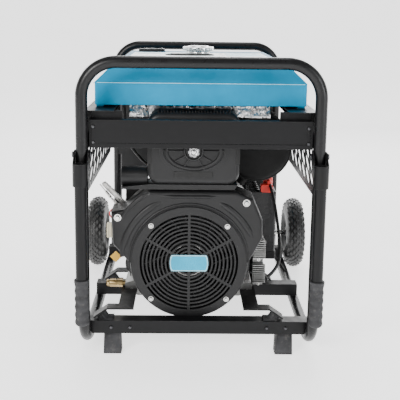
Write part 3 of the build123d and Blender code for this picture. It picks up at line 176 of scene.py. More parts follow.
def coated(
    name, colour, rough, grain=900.0, depth=0.25, wear=(0.16, 0.16, 0.165), dust=0.10, gloss=0.3
):
    """Painted or powder coated metal: fine orange peel, faint dust, edge wear."""
    p = Paint(name)
    tint = p.mix(p.spread(p.noise(9), 0.35, 0.7), shade(colour, 0.86), shade(colour, 1.16))
    dusty = tuple(c * (1 - dust) + 0.35 * dust for c in colour)
    tint = p.mix(p.times(p.spread(p.noise(38, 6), 0.52, 0.75), 0.5), tint, dusty)
    tint = p.mix(p.times(p.edges(), 0.45), tint, wear)
    roughness = p.spread(p.noise(55, 5), 0.3, 0.7, rough - 0.07, rough + 0.09)
    peel = p.bump(p.noise(grain, 2), depth, 0.0004)
    waves = p.bump(p.noise(16, 2), 0.05, 0.002, peel)
    return p.done(tint, roughness, waves, **{"Specular IOR Level": gloss})


def moulded(name, colour, rough, grain=1500.0, depth=0.35):
    """Moulded plastic: pebbled grain, slight sheen changes, pale scuffed edges."""
    p = Paint(name)
    tint = p.mix(p.spread(p.noise(12), 0.35, 0.7), shade(colour, 0.88), shade(colour, 1.14))
    tint = p.mix(p.times(p.edges(), 0.30), tint, (0.16, 0.16, 0.165))
    roughness = p.spread(p.noise(40, 5), 0.3, 0.7, rough - 0.06, rough + 0.08)
    pebbles = p.bump(p.cells(grain, "SMOOTH_F1"), depth, 0.0003)
    waves = p.bump(p.noise(22, 2), 0.06, 0.002, pebbles)
    return p.done(tint, roughness, waves, **{"Specular IOR Level": 0.3})


def rubbery(name, colour, rough=0.72):
    p = Paint(name)
    tint = p.mix(p.spread(p.noise(26, 6), 0.35, 0.7), shade(colour, 0.7), shade(colour, 1.5))
    tint = p.mix(p.times(p.spread(p.noise(90, 8), 0.55, 0.8), 0.5), tint, (0.12, 0.115, 0.105))
    roughness = p.spread(p.noise(60, 5), 0.3, 0.7, rough - 0.1, rough + 0.12)
    fine = p.bump(p.noise(1100, 3), 0.35, 0.0004)
    lumps = p.bump(p.noise(120, 3), 0.12, 0.0008, fine)
    return p.done(tint, roughness, lumps, **{"Specular IOR Level": 0.3})


def metal(name, colour, rough, grain=700.0, depth=0.2, stain_and_reflection=(0.25, 0.23, 0.2), metallic=1.0):
    """Bare metal with stains, scratches or cast grain; on the knob the dark stain colour is painted dark
    reflection.
    """
    p = Paint(name)
    tint = p.mix(p.spread(p.noise(30, 5), 0.35, 0.7), shade(colour, 0.82), shade(colour, 1.1))
    tint = p.mix(p.times(p.spread(p.noise(75, 8), 0.56, 0.8), 0.55), tint, stain_and_reflection)
    roughness = p.spread(p.noise(90, 6), 0.3, 0.7, max(0.04, rough - 0.09), rough + 0.12)
    return p.done(tint, roughness, p.bump(p.noise(grain, 4), depth, 0.0005), metallic)


def make_label():
    """Pale sheet on the tank's top with faint printed blocks and no words."""
    p = Paint("tank_label")
    brick = p.add("ShaderNodeTexBrick", offset=0.37, offset_frequency=3, squash=0.6)
    for key, value in (("Scale", 7.0), ("Mortar Size", 0.012), ("Brick Width", 0.62)):
        brick.inputs[key].default_value = value
    brick.inputs["Color1"].default_value = (0.72, 0.83, 0.86, 1)
    brick.inputs["Color2"].default_value = (0.42, 0.66, 0.73, 1)
    brick.inputs["Mortar"].default_value = (0.84, 0.89, 0.90, 1)
    p.link(p.place, brick.inputs["Vector"])
    tint = p.mix(p.spread(p.noise(20, 5), 0.4, 0.7), (0.80, 0.87, 0.89), brick.outputs["Color"])
    roughness = p.spread(p.noise(45, 4), 0.3, 0.7, 0.22, 0.36)
    return p.done(tint, roughness, p.bump(p.noise(300, 2), 0.08, 0.0003))


def make_foil():
    p = Paint("foil")
    tint = p.mix(p.spread(p.noise(18, 5), 0.35, 0.7), (0.62, 0.62, 0.62), (0.86, 0.86, 0.85))
    roughness = p.spread(p.noise(50, 5), 0.3, 0.7, 0.2, 0.42)
    creases = p.bump(p.cells(70, "DISTANCE_TO_EDGE"), 0.6, 0.004)
    return p.done(tint, roughness, p.bump(p.noise(180, 6), 0.35, 0.002, creases), 1.0)


def make_tyre():
    p = Paint("tyre")
    colour = (0.016, 0.016, 0.016)
    tint = p.mix(p.spread(p.noise(20, 6), 0.35, 0.7), shade(colour, 0.8), shade(colour, 1.9))
    dusty = p.times(p.spread(p.noise(70, 8), 0.5, 0.72), 0.2)
    tint = p.mix(dusty, tint, (0.085, 0.083, 0.075))
    roughness = p.spread(p.noise(50, 5), 0.3, 0.7, 0.34, 0.56)
    return p.done(tint, roughness, p.bump(p.noise(800, 4), 0.3, 0.0005))


def make_panel():
    p = Paint("panel_grey")
    colour = (0.045, 0.048, 0.052)
    tint = p.mix(p.spread(p.noise(10), 0.35, 0.7), shade(colour, 0.9), shade(colour, 1.15))
    roughness = p.spread(p.noise(60, 5), 0.3, 0.7, 0.4, 0.55)
    return p.done(tint, roughness, p.bump(p.noise(1200, 2), 0.3, 0.0003))


SKIN = {
    "frame_tube": coated(
        "frame_tube", (0.004, 0.004, 0.0045), 0.30, 900, 0.03, (0.02, 0.02, 0.021), 0.004, gloss=0.28
    ),
    "frame_sheet": coated("frame_sheet", (0.004, 0.004, 0.0045), 0.38, 800, 0.15, dust=0.006, gloss=0.2),
    "rubber": rubbery("rubber", (0.028, 0.028, 0.03)),
    "zinc_bolt": metal("zinc_bolt", (0.72, 0.72, 0.70), 0.26, 500, 0.15),
    "tyre": make_tyre(),
    "rim": coated("rim", (0.010, 0.010, 0.011), 0.35, dust=0.03),
    "tank_blue": coated(
        "tank_blue", (0.0, 0.222, 0.400), 0.34, 1000, 0.12, (0.03, 0.36, 0.6), 0.0, gloss=0.05
    ),
    "chrome": metal("chrome", (0.95, 0.95, 0.95), 0.14, 300, 0.03, (0.75, 0.75, 0.75)),
    "black_plastic": moulded("black_plastic", (0.009, 0.009, 0.0095), 0.40),
    "foil": make_foil(),
    "cast_aluminium": metal("cast_aluminium", (0.30, 0.30, 0.295), 0.40, 420, 0.6, (0.08, 0.077, 0.07)),
    "steel": metal("steel", (0.62, 0.61, 0.59), 0.28, 600, 0.2),
    "muffler_black": coated("muffler_black", (0.004, 0.004, 0.004), 0.62, 500, 0.5, dust=0.01, gloss=0.2),
    "starter_black": coated("starter_black", (0.007, 0.007, 0.0075), 0.38, dust=0.02),
    "lamination": metal("lamination", (0.20, 0.17, 0.14), 0.5, 260, 0.5, metallic=0.8),
    "box_black": coated("box_black", (0.007, 0.007, 0.0075), 0.45, 900, 0.4, dust=0.02),
    "panel_grey": make_panel(),
    "gloss_black": moulded("gloss_black", (0.010, 0.010, 0.0105), 0.25, 1500, 0.1),
    "outlet_blue": moulded("outlet_blue", (0.02, 0.10, 0.34), 0.3, 1500, 0.1),
    "cable": rubbery("cable", (0.012, 0.012, 0.012), 0.45),
}
EXTRA = {
    "label": make_label(),
    "red": moulded("red_cover", (0.62, 0.03, 0.02), 0.35, 1500, 0.1),
    "red_wire": moulded("red_wire", (0.55, 0.03, 0.03), 0.4, 1500, 0.1),
    "cream": moulded("cream_plastic", (0.62, 0.57, 0.42), 0.45, 1500, 0.15),
    "yellow": moulded("yellow_label", (0.72, 0.42, 0.06), 0.4, 1500, 0.1),
    "badge": coated("badge_blue", (0.0, 0.33, 0.52), 0.25, 900, 0.08, (0.3, 0.6, 0.7), 0.0),
    "badge_line": coated("badge_line", (0.30, 0.62, 0.74), 0.3, 900, 0.08, (0.8, 0.9, 0.9), 0.0),
    "white_print": coated("white_print", (0.72, 0.72, 0.70), 0.5, 900, 0.1, (0.6, 0.6, 0.6), 0.0),
    "glass": moulded("dark_glass", (0.012, 0.014, 0.016), 0.1, 400, 0.02),
    "dull_black": moulded("dull_black", (0.010, 0.010, 0.010), 0.6),
    "brass": metal("brass", (0.60, 0.43, 0.20), 0.30, 500, 0.10, (0.30, 0.20, 0.09)),
    "dark_bolt": metal("dark_bolt", (0.075, 0.075, 0.08), 0.28, 500, 0.15, (0.02, 0.02, 0.02)),
    # the knob: chrome darkened to grey with near-black patches, painted dark reflection
    "knob_metal": metal("knob_metal", (0.34, 0.34, 0.35), 0.14, 300, 0.05, (0.06, 0.06, 0.06)),
}

# CAD nodes: finish, a weld of split corners and a small rounded edge
EDGE_MM = {
    "fuel_tank": 2.2,
    "frame_sheet": 0.5,
    "cast_aluminium": 0.8,
    "black_plastic": 0.6,
    "box_black": 0.8,
    "gloss_black": 0.4,
}
for entry in frame["record"]["subparts"]:
    node, slot_name = entry["node"], entry["material_slot"]
    cad = NODES[node]
    cad.data.materials.clear()
    cad.data.materials.append(SKIN[slot_name])
    weld = cad.modifiers.new("weld", "WELD")
    weld.merge_threshold = 0.00002
    edge = EDGE_MM.get(node, EDGE_MM.get(slot_name, 0.0))
    if edge:
        bevel = cad.modifiers.new("bevel", "BEVEL")
        bevel.width = edge * MM
        bevel.segments = 2
        bevel.limit_method = "ANGLE"
        bevel.angle_limit = math.radians(28)
    for polygon in cad.data.polygons:
        polygon.use_smooth = True
    cad.data.set_sharp_from_angle(angle=math.radians(32))
    weighted = cad.modifiers.new("weighted", "WEIGHTED_NORMAL")
    weighted.keep_sharp = not edge


NODES["frame_bolts"].data.materials[0] = EXTRA["dark_bolt"]
NODES["air_cleaner_knob"].data.materials[0] = EXTRA["knob_metal"]
NODES["oil_drain_pipe"].data.materials[0] = EXTRA["brass"]


# ============================================================== mesh helpers
def place(obj, body, skin):
    """Link a finished piece, paint it and let it ride on a CAD body."""
    obj.data.materials.clear()
    obj.data.materials.append(skin)
    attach(obj, body)
    return obj


def from_bmesh(name, bm, smooth_angle=35.0):
    mesh = bpy.data.meshes.new(name)
    bmesh.ops.recalc_face_normals(bm, faces=bm.faces)
    bm.to_mesh(mesh)
    bm.free()
    for polygon in mesh.polygons:
        polygon.use_smooth = True
    mesh.set_sharp_from_angle(angle=math.radians(smooth_angle))
    obj = bpy.data.objects.new(name, mesh)
    bpy.context.scene.collection.objects.link(obj)
    return obj


def basis(axis):
    """Two unit vectors square to a direction."""
    axis = Vector(axis).normalized()
    side = axis.orthogonal().normalized()
    return side, axis.cross(side)


def bridge(bm, rings):
    """Faces between closed rings of vertices that follow one another."""
    for low, high in zip(rings, rings[1:]):
        for i in range(len(low)):
            j = (i + 1) % len(low)
            bm.faces.new((low[i], low[j], high[j], high[i]))


def lathe(bm, centre, axis, profile, steps=48):
    """Turn (distance along axis, radius) pairs into a closed ring of faces.

    An axis straight along X leaves no direction to start from, so the ring has no width.
    """
    axis = Vector(axis).normalized()
    side = Vector(RIGHT)
    side = (side - axis * side.dot(axis)).normalized()
    other = axis.cross(side)
    rings = []
    for along, radius in profile:
        ring = []
        for i in range(steps):
            a = 2 * math.pi * i / steps
            out = side * math.cos(a) + other * math.sin(a)
            ring.append(bm.verts.new(Vector(centre) + axis * along + out * radius))
        rings.append(ring)
    bridge(bm, rings)
    bm.faces.new(list(reversed(rings[0])))
    bm.faces.new(rings[-1])


def plate(bm, outline, origin, right, up, thickness):
    """Prism from a flat outline of (x, y) pairs; it grows along right x up."""
    right, up = Vector(right), Vector(up)
    out = right.cross(up).normalized() * thickness
    low = [bm.verts.new(Vector(origin) + right * x + up * y) for x, y in outline]
    high = [bm.verts.new(v.co + out) for v in low]
    bm.faces.new(list(reversed(low)))
    bm.faces.new(high)
    for i in range(len(low)):
        j = (i + 1) % len(low)
        bm.faces.new((low[i], low[j], high[j], high[i]))


def rectangle(left, right, bottom, top):
    """Outline of a rectangle with square corners, from its edges."""
    return [(left, bottom), (right, bottom), (right, top), (left, top)]


def rounded(width, height, radius, steps=6):
    """Outline of a rectangle with round corners, centred on its middle."""
    points = []
    for k, (sx, sy) in enumerate(((1, 1), (-1, 1), (-1, -1), (1, -1))):
        cx, cy = sx * (width / 2 - radius), sy * (height / 2 - radius)
        for i in range(steps + 1):
            a = math.pi / 2 * (k + i / steps)
            points.append((cx + radius * math.cos(a), cy + radius * math.sin(a)))
    return points


def soften(obj, width):
    """Small rounded edge on every corner sharper than 30 degrees."""
    bevel = obj.modifiers.new("bevel", "BEVEL")
    bevel.width = width
    bevel.segments = 2
    bevel.limit_method = "ANGLE"
    bevel.angle_limit = math.radians(30)
    return obj


def wire(name, points_mm, radius_mm, skin):
    """A held cable or hose as one smooth spline with its route as control points."""
    curve = bpy.data.curves.new(name, "CURVE")
    curve.dimensions = "3D"
    curve.bevel_depth = radius_mm * MM
    curve.bevel_resolution = 5
    curve.use_fill_caps = True
    spline = curve.splines.new("NURBS")
    spline.points.add(len(points_mm) - 1)
    for point, place_mm in zip(spline.points, points_mm):
        point.co = (*(c * MM for c in place_mm), 1)
    spline.order_u = 3
    spline.use_endpoint_u = True
    spline.resolution_u = 10
    obj = bpy.data.objects.new(name, curve)
    bpy.context.scene.collection.objects.link(obj)
    return place(obj, "chassis", skin)


def screw_heads(name, spots_mm, axis, radius, height, body, kind="pan"):
    """Zinc screw heads, each with a washer and a recess, joined in one piece."""
    bm = bmesh.new()
    for spot in spots_mm:
        centre = Vector(spot) * MM
        r, h = radius * MM, height * MM
        lathe(bm, centre, axis, [(0, r * 1.35), (h * 0.22, r * 1.35)], 28)
        if kind == "hex":
            lathe(bm, centre + Vector(axis) * h * 0.22, axis, [(0, r), (h * 0.7, r), (h, r * 0.8)], 6)
        else:
            lathe(
                bm,
                centre + Vector(axis) * h * 0.22,
                axis,
                [(0, r), (h * 0.35, r), (h * 0.7, r * 0.8), (h * 0.8, r * 0.45), (h * 0.5, r * 0.4)],
                24,
            )
    return place(from_bmesh(name, bm), body, SKIN["zinc_bolt"])


# ===================================================================== tyres
def knobbly_tyre(side):
    """Tyre body with rows of diamond knobs."""
    low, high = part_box(side + "_tyre")
    centre = (low + high) / 2
    radius = (high.z - low.z) / 2
    half = (high.x - low.x) / 2
    bm = bmesh.new()
    section = []
    for i in range(33):
        a = math.pi * (i / 32)
        # from one bead, over the crown, to the other bead
        across = -math.cos(a) * half * 0.985
        out = math.sin(a) ** 0.75
        section.append((across, radius * 0.56 + (radius * 0.412) * out))
    rim_half = half * 0.62
    section = [(-rim_half, radius * 0.475)] + section + [(rim_half, radius * 0.475)]
    steps = 96
    rings = []
    for across, r in section:
        ring = []
        for i in range(steps):
            a = 2 * math.pi * i / steps
            ring.append(
                bm.verts.new(
                    (centre.x + across, centre.y + r * math.cos(a), centre.z + r * math.sin(a))
                )
            )
        rings.append(ring)
    rings.append(rings[0])
    bridge(bm, rings)
    # diamond knobs, staggered
    count = 30
    for row in range(-3, 4):
        across = row * half * 0.235
        lean = abs(row) / 3
        base_r = radius * (0.968 - 0.105 * lean**2.4)
        tall = 0.0042 - 0.0008 * lean
        wide = half * 0.135
        for i in range(count):
            a = 2 * math.pi * (i + (0.5 if row % 2 else 0)) / count
            long = math.pi * base_r / count * 0.78
            corners = ((0, -long), (wide, 0), (0, long), (-wide, 0))
            tilt = math.radians(14 * row)
            lower, upper = [], []
            for grow, lift, ring in ((1.25, -0.002, lower), (0.92, tall, upper)):
                for cx, cy in corners:
                    x = across + cx * grow + math.sin(tilt) * lift
                    r = base_r + math.cos(tilt) * lift - abs(cx * grow) * math.tan(abs(tilt)) * 0.3
                    t = a + cy * grow / base_r
                    ring.append(
                        bm.verts.new(
                            (centre.x + x, centre.y + r * math.cos(t), centre.z + r * math.sin(t))
                        )
                    )
            bm.faces.new(upper)
            bm.faces.new(list(reversed(lower)))
            for k in range(4):
                n = (k + 1) % 4
                bm.faces.new((lower[k], lower[n], upper[n], upper[k]))
    tyre = place(from_bmesh(side + "_knobbly_tyre", bm, 40), side + "_wheel", SKIN["tyre"])
    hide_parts(side + "_tyre")
    # valve stem
    bm = bmesh.new()
    out = -1 if side == "left" else 1
    lathe(
        bm,
        (centre.x + out * half * 0.4, centre.y, centre.z + radius * 0.33),
        (out, 0, 0.35),
        [(0, 0.004), (0.016, 0.0035), (0.016, 0.0045), (0.022, 0.0042)],
        14,
    )
    place(from_bmesh(side + "_valve", bm), side + "_wheel", SKIN["rubber"])


# ===================================================================== grips
def wavy_grip(side):
    """Rubber grip with finger waves, fine rings and a flared top."""
    low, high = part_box(side + "_grip")
    centre = (low + high) / 2
    height = high.z - low.z
    radius = (high.x - low.x) / 2
    profile = [(0, 0.001), (0, radius * 0.72), (0.003, radius * 0.86), (0.007, radius * 0.93)]
    steps = 90
    for i in range(steps + 1):
        t = i / steps
        z = 0.008 + t * (height - 0.018)
        wave = 0.5 - 0.5 * math.cos(2 * math.pi * 5 * t)
        ring = 0.5 - 0.5 * math.cos(2 * math.pi * 30 * t)
        profile.append((z, radius * (0.955 - 0.085 * wave - 0.012 * ring)))
    profile += [
        (height - 0.008, radius * 0.94),
        (height - 0.007, radius * 0.995),
        (height - 0.001, radius * 0.995),
        (height, radius * 0.93),
        (height, 0.0152),
        (height - 0.004, 0.0151),
    ]
    bm = bmesh.new()
    lathe(bm, (centre.x, centre.y, low.z), UP, profile, 56)
    obj = place(from_bmesh(side + "_wavy_grip", bm, 50), side + "_handle", SKIN["rubber"])
    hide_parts(side + "_grip")


for side_name in ("left", "right"):
    knobbly_tyre(side_name)
    wavy_grip(side_name)


# =============================================================== foil blanket
def foil_blanket():
    """Crumpled foil hung under the tank, with a ragged front apron."""
    low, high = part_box("heat_shield")
    bm = bmesh.new()
    across, along = 120, 96
    depth = high.y - low.y
    drop = high.z - low.z - 0.006
    total = depth + drop
    grid = []
    for j in range(along + 1):
        s = total * j / along
        row = []
        for i in range(across + 1):
            x = low.x + 0.004 + (high.x - low.x - 0.008) * i / across
            if s < drop:
                p = Vector((x, low.y + 0.006, low.z + 0.006 + s))
                normal = Vector(FORWARD)
            else:
                p = Vector((x, low.y + 0.006 + (s - drop) * 0.98, high.z - 0.005))
                normal = Vector(UP)
            rough = noise.fractal(p * 34, 0.9, 2.1, 4) + 0.6 * abs(noise.noise(p * 80))
            push = max(-0.0045, min(0.0045, rough * 0.005))
            row.append(bm.verts.new(p + normal * push))
        grid.append(row)
    for a, b in zip(grid, grid[1:]):
        for i in range(across):
            bm.faces.new((a[i], a[i + 1], b[i + 1], b[i]))
    obj = from_bmesh("foil_blanket", bm, 12)
    solid = obj.modifiers.new("thickness", "SOLIDIFY")
    solid.thickness = 0.0008
    place(obj, "chassis", SKIN["foil"])
    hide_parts("heat_shield")


foil_blanket()

# ================================================================== tank top
tank_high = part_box("fuel_tank")[1]
TOP = tank_high.z - TANK_TOP_DROP
bm = bmesh.new()
plate(
    bm,
    rectangle(-0.224, 0.224, -0.322, 0.280),
    (0, 0, TOP + 0.0001),
    RIGHT,
    BACK,
    0.0007,
)
place(from_bmesh("tank_label", bm), "chassis", EXTRA["label"])


def printed(bm, centre_x, centre_y, width, height):
    """Thin printed area on the tank's label."""
    plate(
        bm,
        rounded(width, height, min(width, height) * 0.12, 4),
        (centre_x, centre_y, TOP + 0.0006),
        RIGHT,
        BACK,
        0.0005,
    )


bm = bmesh.new()
for column in (-0.148, 0.0, 0.148):
    for row in (-0.262, -0.152, -0.042):
        # a box outline, one block and four rules
        for side_y in (-0.048, 0.048):
            printed(bm, column, row + side_y, 0.134, 0.0018)
        for side_x in (-0.0662, 0.0662):
            printed(bm, column + side_x, row, 0.0018, 0.0946)
        printed(bm, column - 0.036, row + 0.006, 0.044, 0.060)
        for k in range(4):
            printed(bm, column + 0.024, row + 0.030 - 0.018 * k, 0.062 - 0.008 * (k % 2), 0.005)
printed(bm, 0.150, 0.176, 0.118, 0.170)
printed(bm, -0.150, 0.214, 0.116, 0.060)
place(from_bmesh("label_print", bm), "chassis", EXTRA["badge_line"])
# painted shade: a dark stepped oval on the tank's top stands in for the shadow in a shallow oval recess
bm = bmesh.new()
for k in range(4):
    outline = [
        (
            (0.082 - 0.002 * k * k) * math.cos(a * math.pi / 24),
            (0.030 - 0.002 * k * k) * math.sin(a * math.pi / 24),
        )
        for a in range(48)
    ]
    plate(bm, outline, (-0.030, 0.116, TOP + 0.0008 + 0.0013 * k), RIGHT, BACK, 0.0014)
place(from_bmesh("tank_recess_shade", bm), "chassis", EXTRA["dull_black"])

# painted highlight: thin pale blue strips round the tank's shoulders, where the bends catch the light
bm = bmesh.new()
for side_x in (-1, 1):
    plate(
        bm,
        rectangle(-0.37, 0.41, -0.0007, 0.0007),
        (side_x * (tank_high.x + 0.0003), 0, TANK_HIGHLIGHT_Z),
        (0, side_x, 0),
        UP,
        0.0008,
    )
plate(
    bm,
    rectangle(-0.28, 0.28, -0.0007, 0.0007),
    (0, -0.3903, TANK_HIGHLIGHT_Z),
    RIGHT,
    UP,
    0.0007,
)
place(from_bmesh("tank_shoulder_highlight", bm), "chassis", EXTRA["badge_line"])

# fuel gauge: thin bright rim, glass and five marks
gauge_low, gauge_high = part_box("fuel_gauge")
gauge_mid = (gauge_low + gauge_high) / 2


def oval(a, b):
    return [
        (a * math.cos(2 * math.pi * i / 48), b * math.sin(2 * math.pi * i / 48)) for i in range(48)
    ]


bm = bmesh.new()
spot = (gauge_mid.x, gauge_mid.y, gauge_high.z - 0.0004)
plate(bm, oval(0.040, 0.016), spot, RIGHT, BACK, 0.0010)
place(from_bmesh("gauge_rim", bm), "chassis", SKIN["chrome"])
bm = bmesh.new()
plate(bm, oval(0.037, 0.0137), (spot[0], spot[1], spot[2] + 0.0006), RIGHT, BACK, 0.0010)
place(from_bmesh("gauge_glass", bm), "chassis", EXTRA["glass"])
bm = bmesh.new()
for turn in range(-2, 3):
    a = math.radians(90 + 25 * turn)
    direction = (math.cos(a), math.sin(a), 0)
    plate(
        bm,
        rectangle(0.009, 0.012, -0.0004, 0.0004),
        (spot[0], spot[1] - 0.004, spot[2] + 0.0017),
        direction,
        (-direction[1], direction[0], 0),
        0.0004,
    )
place(from_bmesh("gauge_marks", bm), "chassis", EXTRA["white_print"])

# =================================================================== fasteners
GRILLE_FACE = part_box("grille")[0].y / MM
screw_heads(
    "grille_screws",
    [
        (
            GRILLE_X + GRILLE_SCREW_RADIUS * math.cos(math.radians(45 + 90 * k)),
            GRILLE_FACE + 0.2,
            GRILLE_Z + GRILLE_SCREW_RADIUS * math.sin(math.radians(45 + 90 * k)),
        )
        for k in range(4)
    ],
    FORWARD,
    5.4,
    4.6,
    "chassis",
    "hex",
)
screw_heads(
    "shroud_bolts",
    [(-227, -386.2, 377), (130, -386.2, 422)],
    FORWARD,
    7.5,
    7.0,
    "chassis",
    "hex",
)

# ======================================================================= badge
def badge_outline(shrink):
    half_w, half_h = 0.0535 - shrink, 0.0235 - shrink
    points = []
    for k in range(9):
        a = math.radians(-90 + 180 * k / 8)
        points.append((half_w - 0.006 + 0.006 * math.cos(a), half_h * math.sin(a)))
    for k in range(9):
        a = math.radians(90 + 180 * k / 8)
        points.append((-half_w + 0.006 + 0.006 * math.cos(a), half_h * math.sin(a)))
    return points


bm = bmesh.new()
badge_spot = (GRILLE_X * MM, (GRILLE_FACE - 0.3) * MM, GRILLE_Z * MM)
plate(bm, badge_outline(0.0), badge_spot, RIGHT, UP, 0.0032)
place(soften(from_bmesh("badge_border", bm), 0.0008), "chassis", EXTRA["badge_line"])
bm = bmesh.new()
plate(
    bm,
    badge_outline(0.0032),
    (badge_spot[0], badge_spot[1] - 0.0026, badge_spot[2]),
    RIGHT,
    UP,
    0.0014,
)
place(soften(from_bmesh("badge_plate", bm), 0.0005), "chassis", EXTRA["badge"])

# ======================================================= air cleaner details
cover_low, cover_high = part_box("air_cleaner_cover")
COVER_Y = cover_low.y
knob_low, knob_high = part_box("air_cleaner_knob")
KNOB = (knob_low + knob_high) / 2
bm = bmesh.new()
# ticks across the top of the rim
ticks = 24
for i in range(ticks):
    x = cover_low.x + 0.030 + (cover_high.x - cover_low.x - 0.060) * i / (ticks - 1)
    plate(
        bm,
        rounded(0.0034, 0.030, 0.0015),
        (x, COVER_Y + 0.028, cover_high.z - 0.003),
        RIGHT,
        BACK,
        0.0065,
    )
place(soften(from_bmesh("cover_ticks", bm), 0.0006), "chassis", SKIN["black_plastic"])
# spokes of the raised oval dial
bm = bmesh.new()
for i in range(12):
    if i in (3, 9):
        continue
    a = 2 * math.pi * i / 12
    direction = Vector((math.cos(a), 0, math.sin(a)))
    reach = 1 / math.sqrt((math.cos(a) / 0.072) ** 2 + (math.sin(a) / 0.047) ** 2)
    plate(
        bm,
        rectangle(0.026, reach - 0.004, -0.0014, 0.0014),
        (KNOB.x, COVER_Y + 0.0015, KNOB.z),
        direction,
        Vector((-math.sin(a), 0, math.cos(a))),
        0.0036,
    )
place(soften(from_bmesh("dial_spokes", bm), 0.0005), "chassis", SKIN["black_plastic"])
bm = bmesh.new()
steps = 64
rings = []
for k in range(10):
    t = 2 * math.pi * k / 10
    ring = []
    for i in range(steps):
        a = 2 * math.pi * i / steps
        ring.append(
            bm.verts.new(
                (
                    KNOB.x + (0.074 + 0.004 * math.cos(t)) * math.cos(a),
                    COVER_Y + 0.001 - 0.003 * math.sin(t),
                    KNOB.z + (0.049 + 0.004 * math.cos(t)) * math.sin(a),
                )
            )
        )
    rings.append(ring)
rings.append(rings[0])
bridge(bm, rings)
place(from_bmesh("dial_ring", bm), "chassis", SKIN["black_plastic"])
bm = bmesh.new()
plate(
    bm,
    rounded(0.104, 0.017, 0.003),
    (KNOB.x, COVER_Y + 0.0012, cover_low.z + 0.030),
    RIGHT,
    UP,
    0.0022,
)
place(soften(from_bmesh("cover_label", bm), 0.0004), "chassis", EXTRA["dull_black"])
# spring clips on both sides of the cover
bm = bmesh.new()
for side_x in (-1, 1):
    edge_x = cover_low.x if side_x < 0 else cover_high.x
    plate(
        bm,
        rounded(0.012, 0.056, 0.003),
        (edge_x - side_x * 0.006, COVER_Y + 0.014, KNOB.z - 0.01),
        RIGHT,
        UP,
        0.010,
    )
place(soften(from_bmesh("cover_clips", bm), 0.0012), "chassis", EXTRA["dull_black"])

# ============================================================ fan and shroud
def hoop_piece(bm, centre, axis, radius, tube, steps=64, around=10, flat=1.0):
    """Closed ring of round or flattened section."""
    axis = Vector(axis).normalized()
    side, other = basis(axis)
    rings = []
    for k in range(around):
        t = 2 * math.pi * k / around
        ring = []
        for i in range(steps):
            a = 2 * math.pi * i / steps
            out = side * math.cos(a) + other * math.sin(a)
            ring.append(
                bm.verts.new(
                    Vector(centre)
                    + out * (radius + tube * math.cos(t))
                    + axis * tube * flat * math.sin(t)
                )
            )
        rings.append(ring)
    rings.append(rings[0])
    bridge(bm, rings)


def rib(bm, points, out, width, height, around=8):
    """Rounded rib along a line of points; its ends taper into the surface."""
    out = Vector(out).normalized()
    points = [Vector(p) for p in points]
    rings = []
    for i, p in enumerate(points):
        ahead = points[min(i + 1, len(points) - 1)] - points[max(i - 1, 0)]
        across = ahead.cross(out).normalized()
        t = i / (len(points) - 1)
        swell = min(1.0, 5 * t, 5 * (1 - t)) * 0.96 + 0.04
        ring = []
        for k in range(around + 1):
            a = math.pi * k / around
            ring.append(
                bm.verts.new(
                    p
                    + across * (width / 2) * math.cos(a) * (0.35 + 0.65 * swell)
                    + out * (height * math.sin(a) * swell - 0.0012)
                )
            )
        rings.append(ring)
    for low, high in zip(rings, rings[1:]):
        for k in range(around):
            bm.faces.new((low[k], low[k + 1], high[k + 1], high[k]))
        bm.faces.new((low[around], low[0], high[0], high[around]))
    bm.faces.new(list(reversed(rings[0])))
    bm.faces.new(rings[-1])


def arc(centre_x, centre_z, radius, start, stop, y, steps=28):
    """Points in mm on an arc in the front plane, given in degrees, returned in metres."""
    points = []
    for i in range(steps + 1):
        a = math.radians(start + (stop - start) * i / steps)
        points.append(
            (
                (centre_x + radius * math.cos(a)) * MM,
                y * MM,
                (centre_z + radius * math.sin(a)) * MM,
            )
        )
    return points


fan_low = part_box("flywheel_fan")[0]
bm = bmesh.new()
hub = (GRILLE_X * MM, fan_low.y + 0.0015, GRILLE_Z * MM)
hoop_piece(bm, hub, BACK, 0.046, 0.0035)
hoop_piece(bm, hub, BACK, 0.028, 0.0025)
lathe(bm, hub, FORWARD, [(-0.002, 0.016), (0.004, 0.016), (0.006, 0.012)], 6)
place(from_bmesh("fan_hub_rings", bm), "crank", SKIN["steel"])

# glossy collar round the knob of the air cleaner
bm = bmesh.new()
hoop_piece(bm, (KNOB.x, COVER_Y - 0.0005, KNOB.z), BACK, 0.0245, 0.0034, 64, 12)
place(from_bmesh("knob_collar", bm), "chassis", SKIN["gloss_black"])
bm = bmesh.new()
knob_face = (KNOB.x, knob_low.y, KNOB.z)
hoop_piece(bm, knob_face, BACK, 0.0098, 0.0011, 48, 8)
lathe(bm, knob_face, FORWARD, [(-0.001, 0.0062), (0.0016, 0.0056), (0.0026, 0.0030)], 30)
place(from_bmesh("knob_face", bm), "filter_knob", SKIN["chrome"])
# painted shade: a dark ring and five dark dots on the knob's face stand in for the shadow in its groove
# and dents
bm = bmesh.new()
hoop_piece(bm, knob_face, BACK, 0.0078, 0.0008, 48, 8)
for k in range(5):
    a = 2 * math.pi * (k + 0.3) / 5
    dent = Vector(knob_face) + Vector((math.cos(a), 0, math.sin(a))) * 0.0132
    lathe(bm, dent, FORWARD, [(-0.0008, 0.0016), (0.0004, 0.0012)], 16)
place(from_bmesh("knob_groove_shade", bm), "filter_knob", EXTRA["dark_bolt"])

# painted shade: a dull black plate behind the fan keeps the inside of the shroud dark, and a bright skirt
# round the filler neck
bm = bmesh.new()
hoop_piece(bm, (GRILLE_X * MM, -0.2895, GRILLE_Z * MM), BACK, 0.112, 0.056, 64, 12, 0.02)
place(from_bmesh("fan_shade_plate", bm), "chassis", EXTRA["dull_black"])
neck_low, neck_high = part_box("fuel_cap")
neck = (neck_low + neck_high) / 2
bm = bmesh.new()
hoop_piece(bm, (neck.x, neck.y, TOP + 0.0055), UP, 0.0395, 0.0016, 64, 12, 3.0)
place(from_bmesh("neck_skirt", bm), "chassis", SKIN["chrome"])

